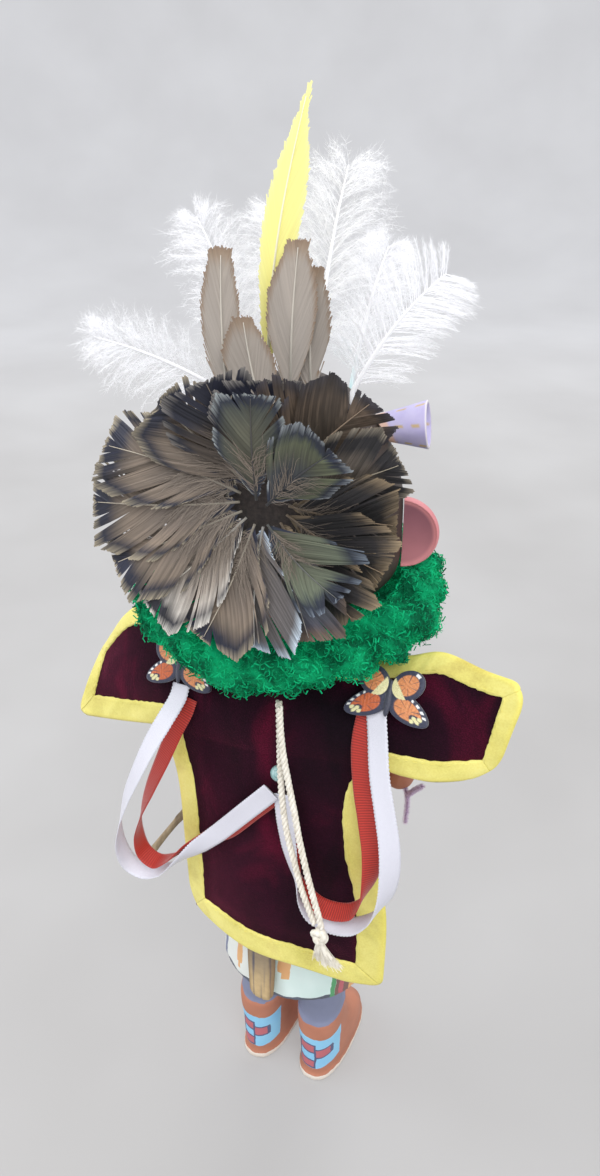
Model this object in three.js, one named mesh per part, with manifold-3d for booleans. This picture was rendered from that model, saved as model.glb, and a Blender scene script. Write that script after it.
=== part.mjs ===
import * as THREE from 'three';
import { mergeVertices } from 'three/addons/utils/BufferGeometryUtils.js';
import Module from 'manifold-3d';

// A carved and dressed kachina doll, in millimetres. +Z is up, it faces -Y and its right side is -X.

const manifoldLibrary = await Module();
manifoldLibrary.setup();

// Gap kept between two pieces that touch
const clearance = 0.35;

// Carved figure: heights are stacked from the floor up, and sections are half widths and half depths
const figure = {
  bootLength: 49,
  bootWidth: 21.5,
  bootHeight: 41,
  soleThickness: 3,
  stance: 14.3,
  stride: 1.8,
  footShift: 4,
  hemShift: 2.5,
  leggingRadius: 9.6,
  kiltHemHeight: 70,
  kiltLength: 70,
  kiltHalfWidth: 32,
  kiltHalfDepth: 26.5,
  waistHalfWidth: 25,
  waistHalfDepth: 18,
  torsoLength: 88,
  chestHalfWidth: 29,
  chestHalfDepth: 18,
  neckLength: 26,
  neckRadius: 14,
  upperArmRadius: 7.6,
  wristRadius: 4.8,
};

const head = {
  height: 71,
  radius: 34.5,
  turnDegrees: 14,
  setBack: 2,
  snoutRadius: 7,
  snoutLength: 9,
  eyeWidth: 11,
  eyeHeight: 3.2,
  eyeDepth: 1.6,
};

const foxTail = { length: 55, width: 11.5, thickness: 4.4, aside: 3, aboveHem: 1.5 };

const ear = { radius: 12, thickness: 3.4, dish: 1.5, heightOnHead: 21 };

const blossom = { length: 19, neckRadius: 3.4, mouthRadius: 7.4, wall: 1.1, heightOnHead: 54, rise: 7 };

const cape = {
  length: 134,
  bindingWidth: 9.2,
  rightSleeveBinding: 6.8,
  velvetThickness: 1.4,
  bindingThickness: 1.9,
  shoulderFullness: 5,
  foldDepth: 1.1,
};

const butterfly = { span: 27, thickness: 1.2, standOff: 4.6 };

const ribbon = { width: 7, thickness: 0.45, steps: 23 };

const bead = { diameter: 6 };

const cord = { diameter: 2.3, steps: 14, sides: 7 };

const knot = { radius: 3.1, tasselLength: 13, tasselRadius: 4.2 };

const ruff = {
  outerRadius: 53,
  riseAbove: 9,
  hangBelow: 14,
  lump: 0.9,
  aside: 3,
  rearDrop: 8,
};

const rosette = {
  hubHeight: 44,
  reach: 39.8,
  widening: 2,
  hubOffCentre: 4.7,
  upperSweep: 9,
  backingRadius: 15,
  backingThickness: 1.6,
  featherCount: 16,
  featherWidth: 24,
  bladeThickness: 0.8,
  twist: 0.36,
  cone: 0.14,
};

const stick = { diameter: 3.6, sides: 8, reachDown: 62, reachUp: 34 };

const chenille = { diameter: 2.8, steps: 6, sides: 7 };

// Heights that follow from the stacked lengths
const waistZ = figure.kiltHemHeight + figure.kiltLength;
const shoulderZ = waistZ + figure.torsoLength;
const headBaseZ = shoulderZ + figure.neckLength;
const headTopZ = headBaseZ + head.height;
const headTurn = THREE.MathUtils.degToRad(head.turnDegrees);
const headMatrix = new THREE.Matrix4()
  .makeRotationZ(headTurn)
  .setPosition(0, head.setBack, 0);

const vector = (x, y, z) => new THREE.Vector3(x, y, z);

function smoothstep(low, high, value) {
  return THREE.MathUtils.smoothstep(value, low, high);
}

// Repeatable spread of values between -1 and 1
function spread(index, salt) {
  const wave = Math.sin(index * 127.1 + salt * 311.7) * 43758.5453;
  return 2 * (wave - Math.floor(wave)) - 1;
}

function closedGeometry(points, index) {
  const geometry = new THREE.BufferGeometry();
  const numbers = points.flatMap((p) => [p.x, p.y, p.z]);
  geometry.setAttribute('position', new THREE.Float32BufferAttribute(numbers, 3));
  geometry.setIndex(index);
  return facingOut(geometry);
}

// Turns a closed geometry right side out by the sign of its volume
function facingOut(geometry) {
  const position = geometry.getAttribute('position');
  const index = geometry.getIndex();
  const corner = [vector(), vector(), vector()];
  let volume = 0;
  for (let i = 0; i < index.count; i += 3) {
    corner.forEach((c, k) => c.fromBufferAttribute(position, index.getX(i + k)));
    volume += corner[0].dot(corner[1].clone().cross(corner[2]));
  }
  if (volume < 0) {
    for (let i = 0; i < index.count; i += 3) {
      const second = index.getX(i + 1);
      index.setX(i + 1, index.getX(i + 2));
      index.setX(i + 2, second);
    }
  }
  return geometry;
}

// A closed skin over a row of rings: flat ends, or joined end to start
function loft(rings, joined = false) {
  const count = rings[0].length;
  const points = rings.flat();
  const index = [];
  const last = joined ? rings.length : rings.length - 1;
  for (let r = 0; r < last; r += 1) {
    for (let k = 0; k < count; k += 1) {
      const next = (k + 1) % count;
      const low = r * count;
      const high = ((r + 1) % rings.length) * count;
      index.push(low + k, low + next, high + next, low + k, high + next, high + k);
    }
  }
  if (!joined) {
    [0, rings.length - 1].forEach((r) => {
      const centre = rings[r].reduce((sum, p) => sum.add(p), vector(0, 0, 0)).divideScalar(count);
      points.push(centre);
      for (let k = 0; k < count; k += 1) {
        const here = r * count + k;
        const next = r * count + ((k + 1) % count);
        if (r === 0) index.push(next, here, points.length - 1);
        else index.push(here, next, points.length - 1);
      }
    });
  }
  return closedGeometry(points, index);
}

// A level ring shaped between an ellipse (power 2) and a rounded rectangle
function levelRing(centre, halfX, halfY, sides, power = 2) {
  const ring = [];
  for (let k = 0; k < sides; k += 1) {
    const angle = (2 * Math.PI * k) / sides;
    const c = Math.cos(angle);
    const s = Math.sin(angle);
    const x = halfX * Math.sign(c) * Math.abs(c) ** (2 / power);
    const y = halfY * Math.sign(s) * Math.abs(s) ** (2 / power);
    ring.push(vector(centre.x + x, centre.y + y, centre.z));
  }
  return ring;
}

// A round limb along a curve, with its radius given at even stations
function limb(points, radii, sides) {
  const curve = new THREE.CatmullRomCurve3(points);
  const stations = (radii.length - 1) * 2;
  const frames = curve.computeFrenetFrames(stations, false);
  const rings = [];
  for (let i = 0; i <= stations; i += 1) {
    const centre = curve.getPointAt(i / stations);
    const before = radii[Math.floor(i / 2)];
    const after = radii[Math.min(Math.ceil(i / 2), radii.length - 1)];
    const radius = (before + after) / 2;
    const ring = [];
    for (let k = 0; k < sides; k += 1) {
      const angle = (2 * Math.PI * k) / sides;
      const point = centre.clone();
      point.addScaledVector(frames.normals[i], radius * Math.cos(angle));
      point.addScaledVector(frames.binormals[i], radius * Math.sin(angle));
      ring.push(point);
    }
    rings.push(ring);
  }
  return loft(rings);
}

// A plate of even thickness over a grid of points; keep says which cells it has
function plate(grid, thickness, keep = () => true) {
  const rows = grid.length;
  const columns = grid[0].length;
  const at = (r, c) => (grid[r] ? grid[r][c] : undefined);
  const points = [];
  const front = new Map();
  const index = [];
  const vertex = (r, c) => {
    const key = r * columns + c;
    if (!front.has(key)) {
      const along = (at(r, c + 1) ?? at(r, c)).clone().sub(at(r, c - 1) ?? at(r, c));
      const down = (at(r + 1, c) ?? at(r, c)).clone().sub(at(r - 1, c) ?? at(r, c));
      const normal = along.cross(down).normalize().multiplyScalar(thickness / 2);
      front.set(key, points.length);
      points.push(at(r, c).clone().add(normal), at(r, c).clone().sub(normal));
    }
    return front.get(key);
  };
  const kept = (r, c) => r >= 0 && c >= 0 && r + 1 < rows && c + 1 < columns && keep(r, c);
  const wall = (a, b) => index.push(a, a + 1, b + 1, a, b + 1, b);
  for (let r = 0; r + 1 < rows; r += 1) {
    for (let c = 0; c + 1 < columns; c += 1) {
      if (kept(r, c)) {
        const [a, b, d, e] = [vertex(r, c), vertex(r, c + 1), vertex(r + 1, c + 1), vertex(r + 1, c)];
        index.push(a, b, d, a, d, e);
        index.push(a + 1, d + 1, b + 1, a + 1, e + 1, d + 1);
        if (!kept(r - 1, c)) wall(a, b);
        if (!kept(r, c + 1)) wall(b, d);
        if (!kept(r + 1, c)) wall(d, e);
        if (!kept(r, c - 1)) wall(e, a);
      }
    }
  }
  return closedGeometry(points, index);
}

function tube(points, diameter, steps, sides) {
  const section = new THREE.Shape();
  for (let k = 0; k < sides; k += 1) {
    const angle = (2 * Math.PI * k) / sides;
    const [x, y] = [(diameter / 2) * Math.cos(angle), (diameter / 2) * Math.sin(angle)];
    if (k === 0) section.moveTo(x, y);
    else section.lineTo(x, y);
  }
  section.closePath();
  const path = new THREE.CatmullRomCurve3(points, false, 'centripetal');
  return new THREE.ExtrudeGeometry(section, { steps, extrudePath: path, bevelEnabled: false });
}

function solidOf(geometry, matrix) {
  const bare = geometry.clone();
  bare.deleteAttribute('normal');
  bare.deleteAttribute('uv');
  if (matrix) bare.applyMatrix4(matrix);
  const merged = mergeVertices(bare, 1e-4);
  return new manifoldLibrary.Manifold(
    new manifoldLibrary.Mesh({
      numProp: 3,
      vertProperties: new Float32Array(merged.getAttribute('position').array),
      triVerts: new Uint32Array(merged.getIndex().array),
    }),
  );
}

function geometryOf(solid) {
  const mesh = solid.getMesh();
  const geometry = new THREE.BufferGeometry();
  geometry.setAttribute('position', new THREE.BufferAttribute(new Float32Array(mesh.vertProperties), 3));
  geometry.setIndex(new THREE.BufferAttribute(new Uint32Array(mesh.triVerts), 1));
  return geometry;
}

function joined(solids) {
  return solids.reduce((sum, solid) => sum.add(solid));
}

// Figure

function bootSolid(side) {
  const heelY = 12.7 + (side < 0 ? -figure.stride : 0);
  const centreX = side * figure.stance + figure.footShift;
  // Height above the floor, length as a share of the boot, half width as a share, squareness
  const stations = [
    [0, 1, 0.98, 2.5],
    [figure.soleThickness, 1, 1, 2.5],
    [figure.soleThickness + 0.2, 0.965, 0.93, 2.5],
    [10, 0.94, 0.94, 2.5],
    [17, 0.82, 0.93, 2.5],
    [24, 0.57, 0.91, 2.3],
    [31, 0.47, 0.92, 2.2],
    [figure.bootHeight, 0.47, 0.98, 2.2],
  ];
  return solidOf(
    loft(
      stations.map(([z, long, wide, power]) => {
        const halfLength = (figure.bootLength * long) / 2;
        const inset = z > figure.soleThickness ? 0.9 : 0;
        const centre = vector(centreX, heelY - inset - halfLength, z);
        return levelRing(centre, (figure.bootWidth / 2) * wide, halfLength, 14, power);
      }),
    ),
  );
}

function leggingSolid(side) {
  const centreY = 12.7 - figure.bootLength * 0.24 - (side < 0 ? figure.stride : 0);
  const radius = figure.leggingRadius;
  const centreX = side * figure.stance + figure.footShift;
  const ring = (z) => levelRing(vector(centreX, centreY, z), radius, radius, 12);
  return solidOf(loft([ring(figure.bootHeight - 2), ring(figure.kiltHemHeight + 4)]));
}

function bodySolid() {
  const hem = figure.kiltHemHeight;
  // Height, half width, half depth: kilt, waist, chest, shoulders, neck
  const stations = [
    [hem, figure.kiltHalfWidth, figure.kiltHalfDepth],
    [hem + figure.kiltLength * 0.35, figure.kiltHalfWidth * 0.96, figure.kiltHalfDepth * 0.93],
    [hem + figure.kiltLength * 0.75, figure.waistHalfWidth * 1.06, figure.waistHalfDepth * 1.08],
    [waistZ - 4, figure.waistHalfWidth * 1.05, figure.waistHalfDepth * 1.06],
    [waistZ - 3.9, figure.waistHalfWidth * 1.11, figure.waistHalfDepth * 1.14],
    [waistZ + 4, figure.waistHalfWidth * 1.11, figure.waistHalfDepth * 1.14],
    [waistZ + 4.1, figure.waistHalfWidth, figure.waistHalfDepth],
    [waistZ + figure.torsoLength * 0.6, figure.chestHalfWidth, figure.chestHalfDepth],
    [shoulderZ - figure.torsoLength * 0.08, figure.chestHalfWidth * 0.96, figure.chestHalfDepth * 0.85],
    [shoulderZ + figure.neckLength * 0.12, figure.chestHalfWidth * 0.72, figure.chestHalfDepth * 0.66],
    [shoulderZ + figure.neckLength * 0.3, figure.neckRadius, figure.neckRadius * 0.8],
    [headBaseZ + 2, figure.neckRadius, figure.neckRadius],
  ];
  const lean = (z) => figure.hemShift * Math.max(0, (waistZ - z) / figure.kiltLength);
  return solidOf(loft(stations.map(([z, halfX, halfY]) => levelRing(vector(lean(z), 0, z), halfX, halfY, 20))));
}

// Share of the head's height against share of its radius
const headProfile = [
  [0, 0.46],
  [0.035, 0.8],
  [0.11, 0.97],
  [0.3, 1],
  [0.48, 0.98],
  [0.62, 0.91],
  [0.76, 0.77],
  [0.88, 0.56],
  [0.96, 0.32],
  [1, 0.12],
];

function headRadiusAt(share) {
  const above = headProfile.findIndex(([height]) => height >= share);
  if (above <= 0) return head.radius * headProfile[0][1];
  const [lowHeight, lowRadius] = headProfile[above - 1];
  const [highHeight, highRadius] = headProfile[above];
  return head.radius * THREE.MathUtils.mapLinear(share, lowHeight, highHeight, lowRadius, highRadius);
}

const headRing = (z, radius) => levelRing(vector(0, 0, z), radius, radius, 22);

function headSolid() {
  const rings = headProfile.map(([height, radius]) =>
    headRing(headBaseZ + height * head.height, radius * head.radius),
  );
  const caseMask = solidOf(loft(rings), headMatrix);
  const eyeZ = headBaseZ + head.height * 0.6;
  const snoutZ = headBaseZ + head.height * 0.34;
  const { snoutRadius, snoutLength } = head;
  const snout = new THREE.CylinderGeometry(snoutRadius * 0.82, snoutRadius, snoutLength * 2, 14);
  snout.rotateX(Math.PI);
  snout.translate(0, -head.radius, snoutZ);
  const bore = new THREE.CylinderGeometry(snoutRadius * 0.5, snoutRadius * 0.5, snoutLength, 12);
  bore.translate(0, -head.radius - snoutLength, snoutZ);
  let mask = caseMask.add(solidOf(snout, headMatrix)).subtract(solidOf(bore, headMatrix));
  [-1, 1].forEach((side) => {
    const slit = new THREE.BoxGeometry(head.eyeWidth, head.eyeDepth * 2, head.eyeHeight);
    slit.rotateZ(side * 0.38);
    const across = head.radius * 0.37;
    slit.translate(side * across, -Math.sqrt(head.radius ** 2 - across ** 2), eyeZ);
    mask = mask.subtract(solidOf(slit, headMatrix));
  });
  return mask;
}

// Arms: shoulder, elbow, wrist and fist, given from the shoulder height
const arms = {
  left: {
    path: [
      vector(20, -2, shoulderZ - 8),
      vector(34, -3, shoulderZ - 8),
      vector(54, -3.5, shoulderZ - 15),
      vector(73, -4, shoulderZ - 26),
      vector(64, -9, shoulderZ - 47),
      vector(46, -13, shoulderZ - 73.5),
    ],
    fist: vector(42, -13.3, shoulderZ - 78),
  },
  right: {
    path: [
      vector(-20, -2, shoulderZ - 8),
      vector(-34, -3, shoulderZ - 7),
      vector(-52, -3, shoulderZ - 6),
      vector(-67, -4, shoulderZ - 9),
      vector(-55, -10, shoulderZ - 29),
      vector(-40, -11, shoulderZ - 48.5),
    ],
    fist: vector(-36.5, -11, shoulderZ - 53.5),
  },
};

const stickDirection = vector(33.5, 23.5, -56).normalize();

function fistSolid(place, axis) {
  const palm = new THREE.SphereGeometry(1, 8, 5);
  palm.scale(6.4, 6, 7.4);
  palm.translate(place.x, place.y, place.z);
  const fingers = [];
  const reach = vector(0, -1, 0).addScaledVector(axis, axis.y).normalize();
  for (let finger = 0; finger < 4; finger += 1) {
    const joint = new THREE.SphereGeometry(1, 6, 4);
    joint.scale(3.3, 4.2, 2.1);
    const turn = new THREE.Quaternion().setFromUnitVectors(vector(0, 0, 1), axis);
    joint.applyQuaternion(turn);
    const centre = place.clone().addScaledVector(axis, (finger - 1.5) * 3.1).addScaledVector(reach, 3.8);
    joint.translate(centre.x, centre.y, centre.z);
    fingers.push(solidOf(joint));
  }
  return joined([solidOf(palm), ...fingers]);
}

function stickPath(place) {
  return [
    place.clone().addScaledVector(stickDirection, -stick.reachUp),
    place.clone().addScaledVector(stickDirection, stick.reachDown),
  ];
}

// Feathers that stand on the head: base on its top, tip, width and bow, in the head's own frame
const crown = {
  yellow_feather: { base: [5, 14], tip: [-6.5, 14, headTopZ + 75], width: 11.5, bow: 1.5, blunt: 0.12 },
  grey_feather_1: { base: [12.6, 22], tip: [15.5, 22, headTopZ + 37], width: 10, bow: 2, blunt: 0.8 },
  grey_feather_2: { base: [-1, 25.5], tip: [9, 25.5, headTopZ + 20], width: 12, bow: 2, blunt: 0.5 },
  grey_feather_3: { base: [-3, 19], tip: [-7, 19, headTopZ + 38], width: 11, bow: -2, blunt: 0.35 },
  grey_feather_4: { base: [-9, 16.2], tip: [-14, 16.2, headTopZ + 31], width: 10, bow: -2, blunt: 0.75 },
};

const plumes = {
  white_plume_1: { base: [21, 5], tip: [63, 5, headTopZ + 8], width: 21, thickness: 6 },
  white_plume_2: { base: [15, -4], tip: [31, -4, headTopZ + 42], width: 20, thickness: 6 },
  white_plume_3: { base: [-18, 5], tip: [-43, 5, headTopZ + 30], width: 27, thickness: 7 },
  white_plume_4: { base: [-4, -8], tip: [-13, -8, headTopZ + 56], width: 27, thickness: 7 },
  white_plume_5: { base: [5, -17], tip: [12, -17, headTopZ + 44], width: 19, thickness: 6 },
  white_plume_6: { base: [-14, -17], tip: [-24, -17, headTopZ + 34], width: 20, thickness: 6 },
};

const quillRadius = 1;
const quillDepth = 5;

function headTopAt(x, y) {
  const reach = Math.hypot(x, y);
  const above = headProfile.findLastIndex(([, share]) => share * head.radius >= reach);
  const [lowHeight, lowRadius] = headProfile[above];
  const [highHeight, highRadius] = headProfile[above + 1] ?? headProfile[above];
  const drop = lowRadius - highRadius;
  const share = drop === 0 ? 0 : (lowRadius - reach / head.radius) / drop;
  return headBaseZ + head.height * THREE.MathUtils.lerp(lowHeight, highHeight, Math.min(share, 1));
}

function quillSocket([x, y]) {
  const radius = quillRadius + clearance;
  const depth = quillDepth + clearance;
  const socket = new THREE.CylinderGeometry(radius, radius, depth * 2, 5);
  socket.rotateX(Math.PI / 2);
  socket.translate(x, y, headTopAt(x, y));
  return solidOf(socket, headMatrix);
}

function figureGeometry() {
  const body = joined([
    bootSolid(1),
    bootSolid(-1),
    leggingSolid(1),
    leggingSolid(-1),
    bodySolid(),
    headSolid(),
    ...Object.values(arms).map((arm) => {
      const upper = figure.upperArmRadius;
      const radii = [upper, upper * 1.04, upper, upper * 0.84, figure.wristRadius];
      return solidOf(limb(arm.path, radii, 10));
    }),
    fistSolid(arms.left.fist, stickDirection),
    fistSolid(arms.right.fist, vector(0, 0, 1)),
  ]);
  const grip = solidOf(tube(stickPath(arms.left.fist), stick.diameter + 2 * clearance, 1, stick.sides));
  const sprigBore = chenille.diameter + 2 * clearance;
  const sprigGrip = solidOf(tube(sprigStem(), sprigBore, chenille.steps, chenille.sides));
  const sockets = [...Object.values(crown), ...Object.values(plumes)].map(({ base }) => quillSocket(base));
  return geometryOf([grip, sprigGrip, ...sockets].reduce((solid, hole) => solid.subtract(hole), body));
}

// Pieces on the figure

function foxTailGeometry() {
  const bottom = figure.kiltHemHeight + foxTail.aboveHem;
  const top = bottom + foxTail.length;
  const rings = [];
  const steps = 6;
  for (let i = 0; i <= steps; i += 1) {
    const share = i / steps;
    const z = THREE.MathUtils.lerp(bottom, top, share);
    const bodyBack = figure.kiltHalfDepth * THREE.MathUtils.lerp(1, 0.93, share);
    const half = (foxTail.width / 2) * (0.78 + 0.3 * Math.sin(Math.PI * (0.12 + share * 0.7)));
    const y = bodyBack + clearance + foxTail.thickness / 2;
    rings.push(levelRing(vector(foxTail.aside, y, z), half, foxTail.thickness / 2, 12, 2.6));
  }
  return loft(rings);
}

function earGeometry(side) {
  const z = headBaseZ + ear.heightOnHead;
  const inner = head.radius + clearance;
  const rings = 3;
  const sides = 9;
  const profile = [];
  for (let i = 0; i <= rings; i += 1) {
    const share = i / rings;
    profile.push(new THREE.Vector2(share * ear.radius, ear.thickness / 2 - ear.dish * (1 - share ** 2)));
  }
  profile.push(new THREE.Vector2(ear.radius, -ear.thickness / 2));
  profile.push(new THREE.Vector2(0, -ear.thickness / 2));
  const disc = facingOut(mergeVertices(bare(new THREE.LatheGeometry(profile, sides * 2)), 1e-4));
  disc.translate(side * head.radius, 0, z);
  const keep = new THREE.BoxGeometry(ear.radius * 2, ear.thickness * 4, ear.radius * 4);
  keep.translate(side * (inner + ear.radius), 0, z);
  return geometryOf(solidOf(disc).intersect(solidOf(keep)));
}

function bare(geometry) {
  geometry.deleteAttribute('normal');
  geometry.deleteAttribute('uv');
  return geometry;
}

function blossomGeometry() {
  const outer = [];
  const inner = [];
  const steps = 4;
  for (let i = 0; i <= steps; i += 1) {
    const share = i / steps;
    const radius = THREE.MathUtils.lerp(blossom.neckRadius, blossom.mouthRadius, share ** 1.15);
    outer.push(new THREE.Vector2(radius, share * blossom.length));
    if (share > 0.3) inner.unshift(new THREE.Vector2(radius - blossom.wall, share * blossom.length));
  }
  const bottom = new THREE.Vector2(0, blossom.length * 0.4);
  const profile = [new THREE.Vector2(0, 0), ...outer, ...inner, bottom];
  const cone = facingOut(mergeVertices(bare(new THREE.LatheGeometry(profile, 11)), 1e-4));
  cone.rotateZ(Math.PI / 2);
  cone.rotateY(THREE.MathUtils.degToRad(blossom.rise));
  const z = headBaseZ + blossom.heightOnHead;
  cone.translate(-headRadiusAt(blossom.heightOnHead / head.height) + 5, -2, z);
  const rings = headProfile.map(([height, radius]) =>
    headRing(headBaseZ + height * head.height, radius * head.radius + clearance),
  );
  return geometryOf(solidOf(cone).subtract(solidOf(loft(rings))));
}

// Cape: a T-shaped sheet with bound edges

const bodyBackY = Math.max(figure.kiltHalfDepth, figure.chestHalfDepth);

const capeCurve = (points) => new THREE.CatmullRomCurve3(points, false, 'centripetal');

const capeEdges = {
  top: [
    capeCurve([
      vector(86, 5, shoulderZ - 24),
      vector(67, 5.5, shoulderZ),
      vector(44.5, 8, shoulderZ + 6.5),
    ]),
    capeCurve([
      vector(44.5, 8, shoulderZ + 6.5),
      vector(30, 10, shoulderZ + 7),
      vector(0, 13.5, shoulderZ + 4),
      vector(-30, 10, shoulderZ + 7.5),
      vector(-45, 8, shoulderZ + 11.5),
    ]),
    capeCurve([
      vector(-45, 8, shoulderZ + 11.5),
      vector(-55, 8, shoulderZ + 15.5),
      vector(-70, 8.5, shoulderZ + 13),
      vector(-84, 12, shoulderZ + 14),
    ]),
  ],
  under: [
    capeCurve([
      vector(95, 15, shoulderZ - 53),
      vector(70, 20, shoulderZ - 44.5),
      vector(44.5, 25, shoulderZ - 35),
    ]),
    capeCurve([
      vector(44.5, 25, shoulderZ - 35),
      vector(22, bodyBackY - 0.2, shoulderZ - 33),
      vector(0, bodyBackY + 0.8, shoulderZ - 30),
      vector(-22, bodyBackY - 0.2, shoulderZ - 26),
      vector(-45, 25, shoulderZ - 24),
    ]),
    capeCurve([
      vector(-45, 25, shoulderZ - 24),
      vector(-60, 21, shoulderZ - 25),
      vector(-77, 12.5, shoulderZ - 23),
    ]),
  ],
  hem: capeCurve([
    vector(36.6, bodyBackY, shoulderZ + 10 - cape.length),
    vector(14, bodyBackY + 6.5, shoulderZ + 10.5 - cape.length),
    vector(-11, bodyBackY + 8, shoulderZ + 11 - cape.length),
    vector(-32, bodyBackY + 4.5, shoulderZ + 10.5 - cape.length),
    vector(-48.5, bodyBackY, shoulderZ + 10 - cape.length),
  ]),
  left: capeCurve([
    vector(44.5, 25, shoulderZ - 35),
    vector(38.8, 26, shoulderZ - 54),
    vector(37.2, bodyBackY, shoulderZ - 88),
    vector(36.6, bodyBackY, shoulderZ + 10 - cape.length),
  ]),
  right: capeCurve([
    vector(-45, 25, shoulderZ - 24),
    vector(-40.6, 26, shoulderZ - 40),
    vector(-41.2, 26.5, shoulderZ - 58),
    vector(-47.6, bodyBackY, shoulderZ - 84),
    vector(-48.5, bodyBackY, shoulderZ + 10 - cape.length),
  ]),
};

// Shares along a length, with a binding and its gap set off at either end
function capeStops(length, inner, boundStart, boundEnd, width = cape.bindingWidth) {
  const bound = width / length;
  const gap = (width + clearance) / length;
  const stops = boundStart ? [0, bound] : [];
  const first = boundStart ? gap : 0;
  const last = boundEnd ? 1 - gap : 1;
  for (let i = 0; i <= inner; i += 1) stops.push(THREE.MathUtils.lerp(first, last, i / inner));
  if (boundEnd) stops.push(1 - bound, 1);
  return stops;
}

const bindingOf = (part) => (part === 2 ? cape.rightSleeveBinding : cape.bindingWidth);

const capeCells = { sleeve: 3, body: 6, upper: 4, lower: 7 };

function capeColumn(part, index) {
  const inner = part === 1 ? capeCells.body : capeCells.sleeve;
  const stops = (curve) => capeStops(curve.getLength(), inner, part < 2, part > 0, bindingOf(part));
  const [top, under] = [capeEdges.top[part], capeEdges.under[part]];
  return { top: top.getPointAt(stops(top)[index]), under: under.getPointAt(stops(under)[index]) };
}

function fold(point) {
  const down = smoothstep(shoulderZ - 20, shoulderZ - 110, point.z);
  return cape.foldDepth * Math.sin(point.x / 6.5 + 1.1) * down;
}

function capeGrid() {
  const columns = [];
  [0, 1, 2].forEach((part) => {
    const count = part === 1 ? capeCells.body + 4 : capeCells.sleeve + 2;
    for (let i = part === 0 ? 0 : 1; i <= count; i += 1) columns.push({ part, index: i });
  });
  const bodyFirst = columns.findIndex(({ part }) => part === 1) - 1;
  const bodyLast = columns.findLastIndex(({ part }) => part === 1);
  const ends = columns.map(({ part, index }) => capeColumn(part, index));
  const rows = [];
  const upperStops = (length, part) => capeStops(length, capeCells.upper, true, true, bindingOf(part));
  const upperCount = upperStops(100, 1).length;
  for (let r = 0; r < upperCount; r += 1) {
    rows.push(
      ends.map(({ top, under }, c) => {
        const share = upperStops(top.distanceTo(under), columns[c].part)[r];
        const inBody = smoothstep(0, 3, c - bodyFirst + 3) * smoothstep(0, 3, bodyLast + 3 - c);
        const full = cape.shoulderFullness * (0.35 + 0.65 * inBody) * 4 * share * (1 - share);
        return top.clone().lerp(under, share).add(vector(0, full, full * 0.2));
      }),
    );
  }
  const lowerStops = capeStops(capeEdges.left.getLength(), capeCells.lower, false, true);
  lowerStops.slice(1).forEach((down) => {
    const leftPoint = capeEdges.left.getPointAt(down);
    const rightPoint = capeEdges.right.getPointAt(down);
    rows.push(
      ends.map(({ under }, c) => {
        if (c < bodyFirst || c > bodyLast) return undefined;
        const hemStops = capeStops(capeEdges.hem.getLength(), capeCells.body, true, true);
        const across = hemStops[c - bodyFirst];
        const hemPoint = capeEdges.hem.getPointAt(across);
        const straight = ends[bodyFirst].under.clone().lerp(ends[bodyLast].under, across);
        const straightHem = capeEdges.hem.getPointAt(0).lerp(capeEdges.hem.getPointAt(1), across);
        const point = leftPoint.clone().lerp(rightPoint, across);
        point.addScaledVector(under.clone().sub(straight), 1 - down);
        point.addScaledVector(hemPoint.clone().sub(straightHem), down);
        point.y += fold(point) * Math.min(1, 8 * across * (1 - across));
        return point;
      }),
    );
  });
  return { rows, bodyFirst, bodyLast, upperCount };
}

const capeSheet = capeGrid();

// What each cell of the cape's grid is: velvet, binding, the gap between them, or nothing
function capeCellKind(r, c) {
  const { rows, bodyFirst, bodyLast, upperCount } = capeSheet;
  const lastColumn = rows[0].length - 2;
  const lastUpper = upperCount - 2;
  const lastRow = rows.length - 2;
  const inBody = c >= bodyFirst && c < bodyLast;
  if (!inBody && r > lastUpper) return 'nothing';
  const fromSide = Math.min(c - bodyFirst, bodyLast - 1 - c);
  const fromCuff = Math.min(c, lastColumn - c);
  if (r === 0 || fromCuff === 0) return 'binding';
  if (r === lastRow) return 'binding';
  if (!inBody && r === lastUpper) return 'binding';
  if (inBody && fromSide === 0 && r >= lastUpper) return 'binding';
  if (r === 1 || fromCuff === 1 || r === lastRow - 1) return 'gap';
  if (!inBody && r === lastUpper - 1) return 'gap';
  if (inBody && fromSide === 0 && r === lastUpper - 1) return 'gap';
  if (inBody && fromSide === 1 && r >= lastUpper - 1) return 'gap';
  return 'velvet';
}

// A place on the cape's outer side, found by its grid row and column, with its normal
function capeSeat(row, column) {
  const { rows } = capeSheet;
  const [r, c] = [Math.floor(row), Math.floor(column)];
  const [fr, fc] = [row - r, column - c];
  const upper = rows[r][c].clone().lerp(rows[r][c + 1], fc);
  const lower = rows[r + 1][c].clone().lerp(rows[r + 1][c + 1], fc);
  const along = rows[r][c + 1].clone().sub(rows[r][c]);
  const down = lower.clone().sub(upper);
  const normal = along.cross(down).normalize();
  if (normal.y < 0) normal.negate();
  return { place: upper.lerp(lower, fr), normal };
}

// Embroidered patch with four wings and a body, lying in XY with its head towards +Y
function butterflyGeometry() {
  const share = butterfly.span / 27;
  const wing = (x, y, halfLong, halfWide, turnDegrees) => {
    const shape = new THREE.Shape();
    shape.absellipse(0, 0, halfLong * share, halfWide * share, 0, 2 * Math.PI);
    const settings = { depth: butterfly.thickness, bevelEnabled: false, curveSegments: 5 };
    const solid = new THREE.ExtrudeGeometry(shape, settings);
    solid.rotateZ(THREE.MathUtils.degToRad(turnDegrees));
    solid.translate(x * share, y * share, -butterfly.thickness / 2);
    return solidOf(solid);
  };
  return geometryOf(
    joined([
      wing(5.7, 4.4, 5.6, 4.7, 35),
      wing(-5.7, 4.4, 5.6, 4.7, -35),
      wing(7.2, -3.4, 7.4, 3.9, -26),
      wing(-7.2, -3.4, 7.4, 3.9, 26),
      wing(0, -0.5, 1.7, 6, 0),
    ]),
  );
}

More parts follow.
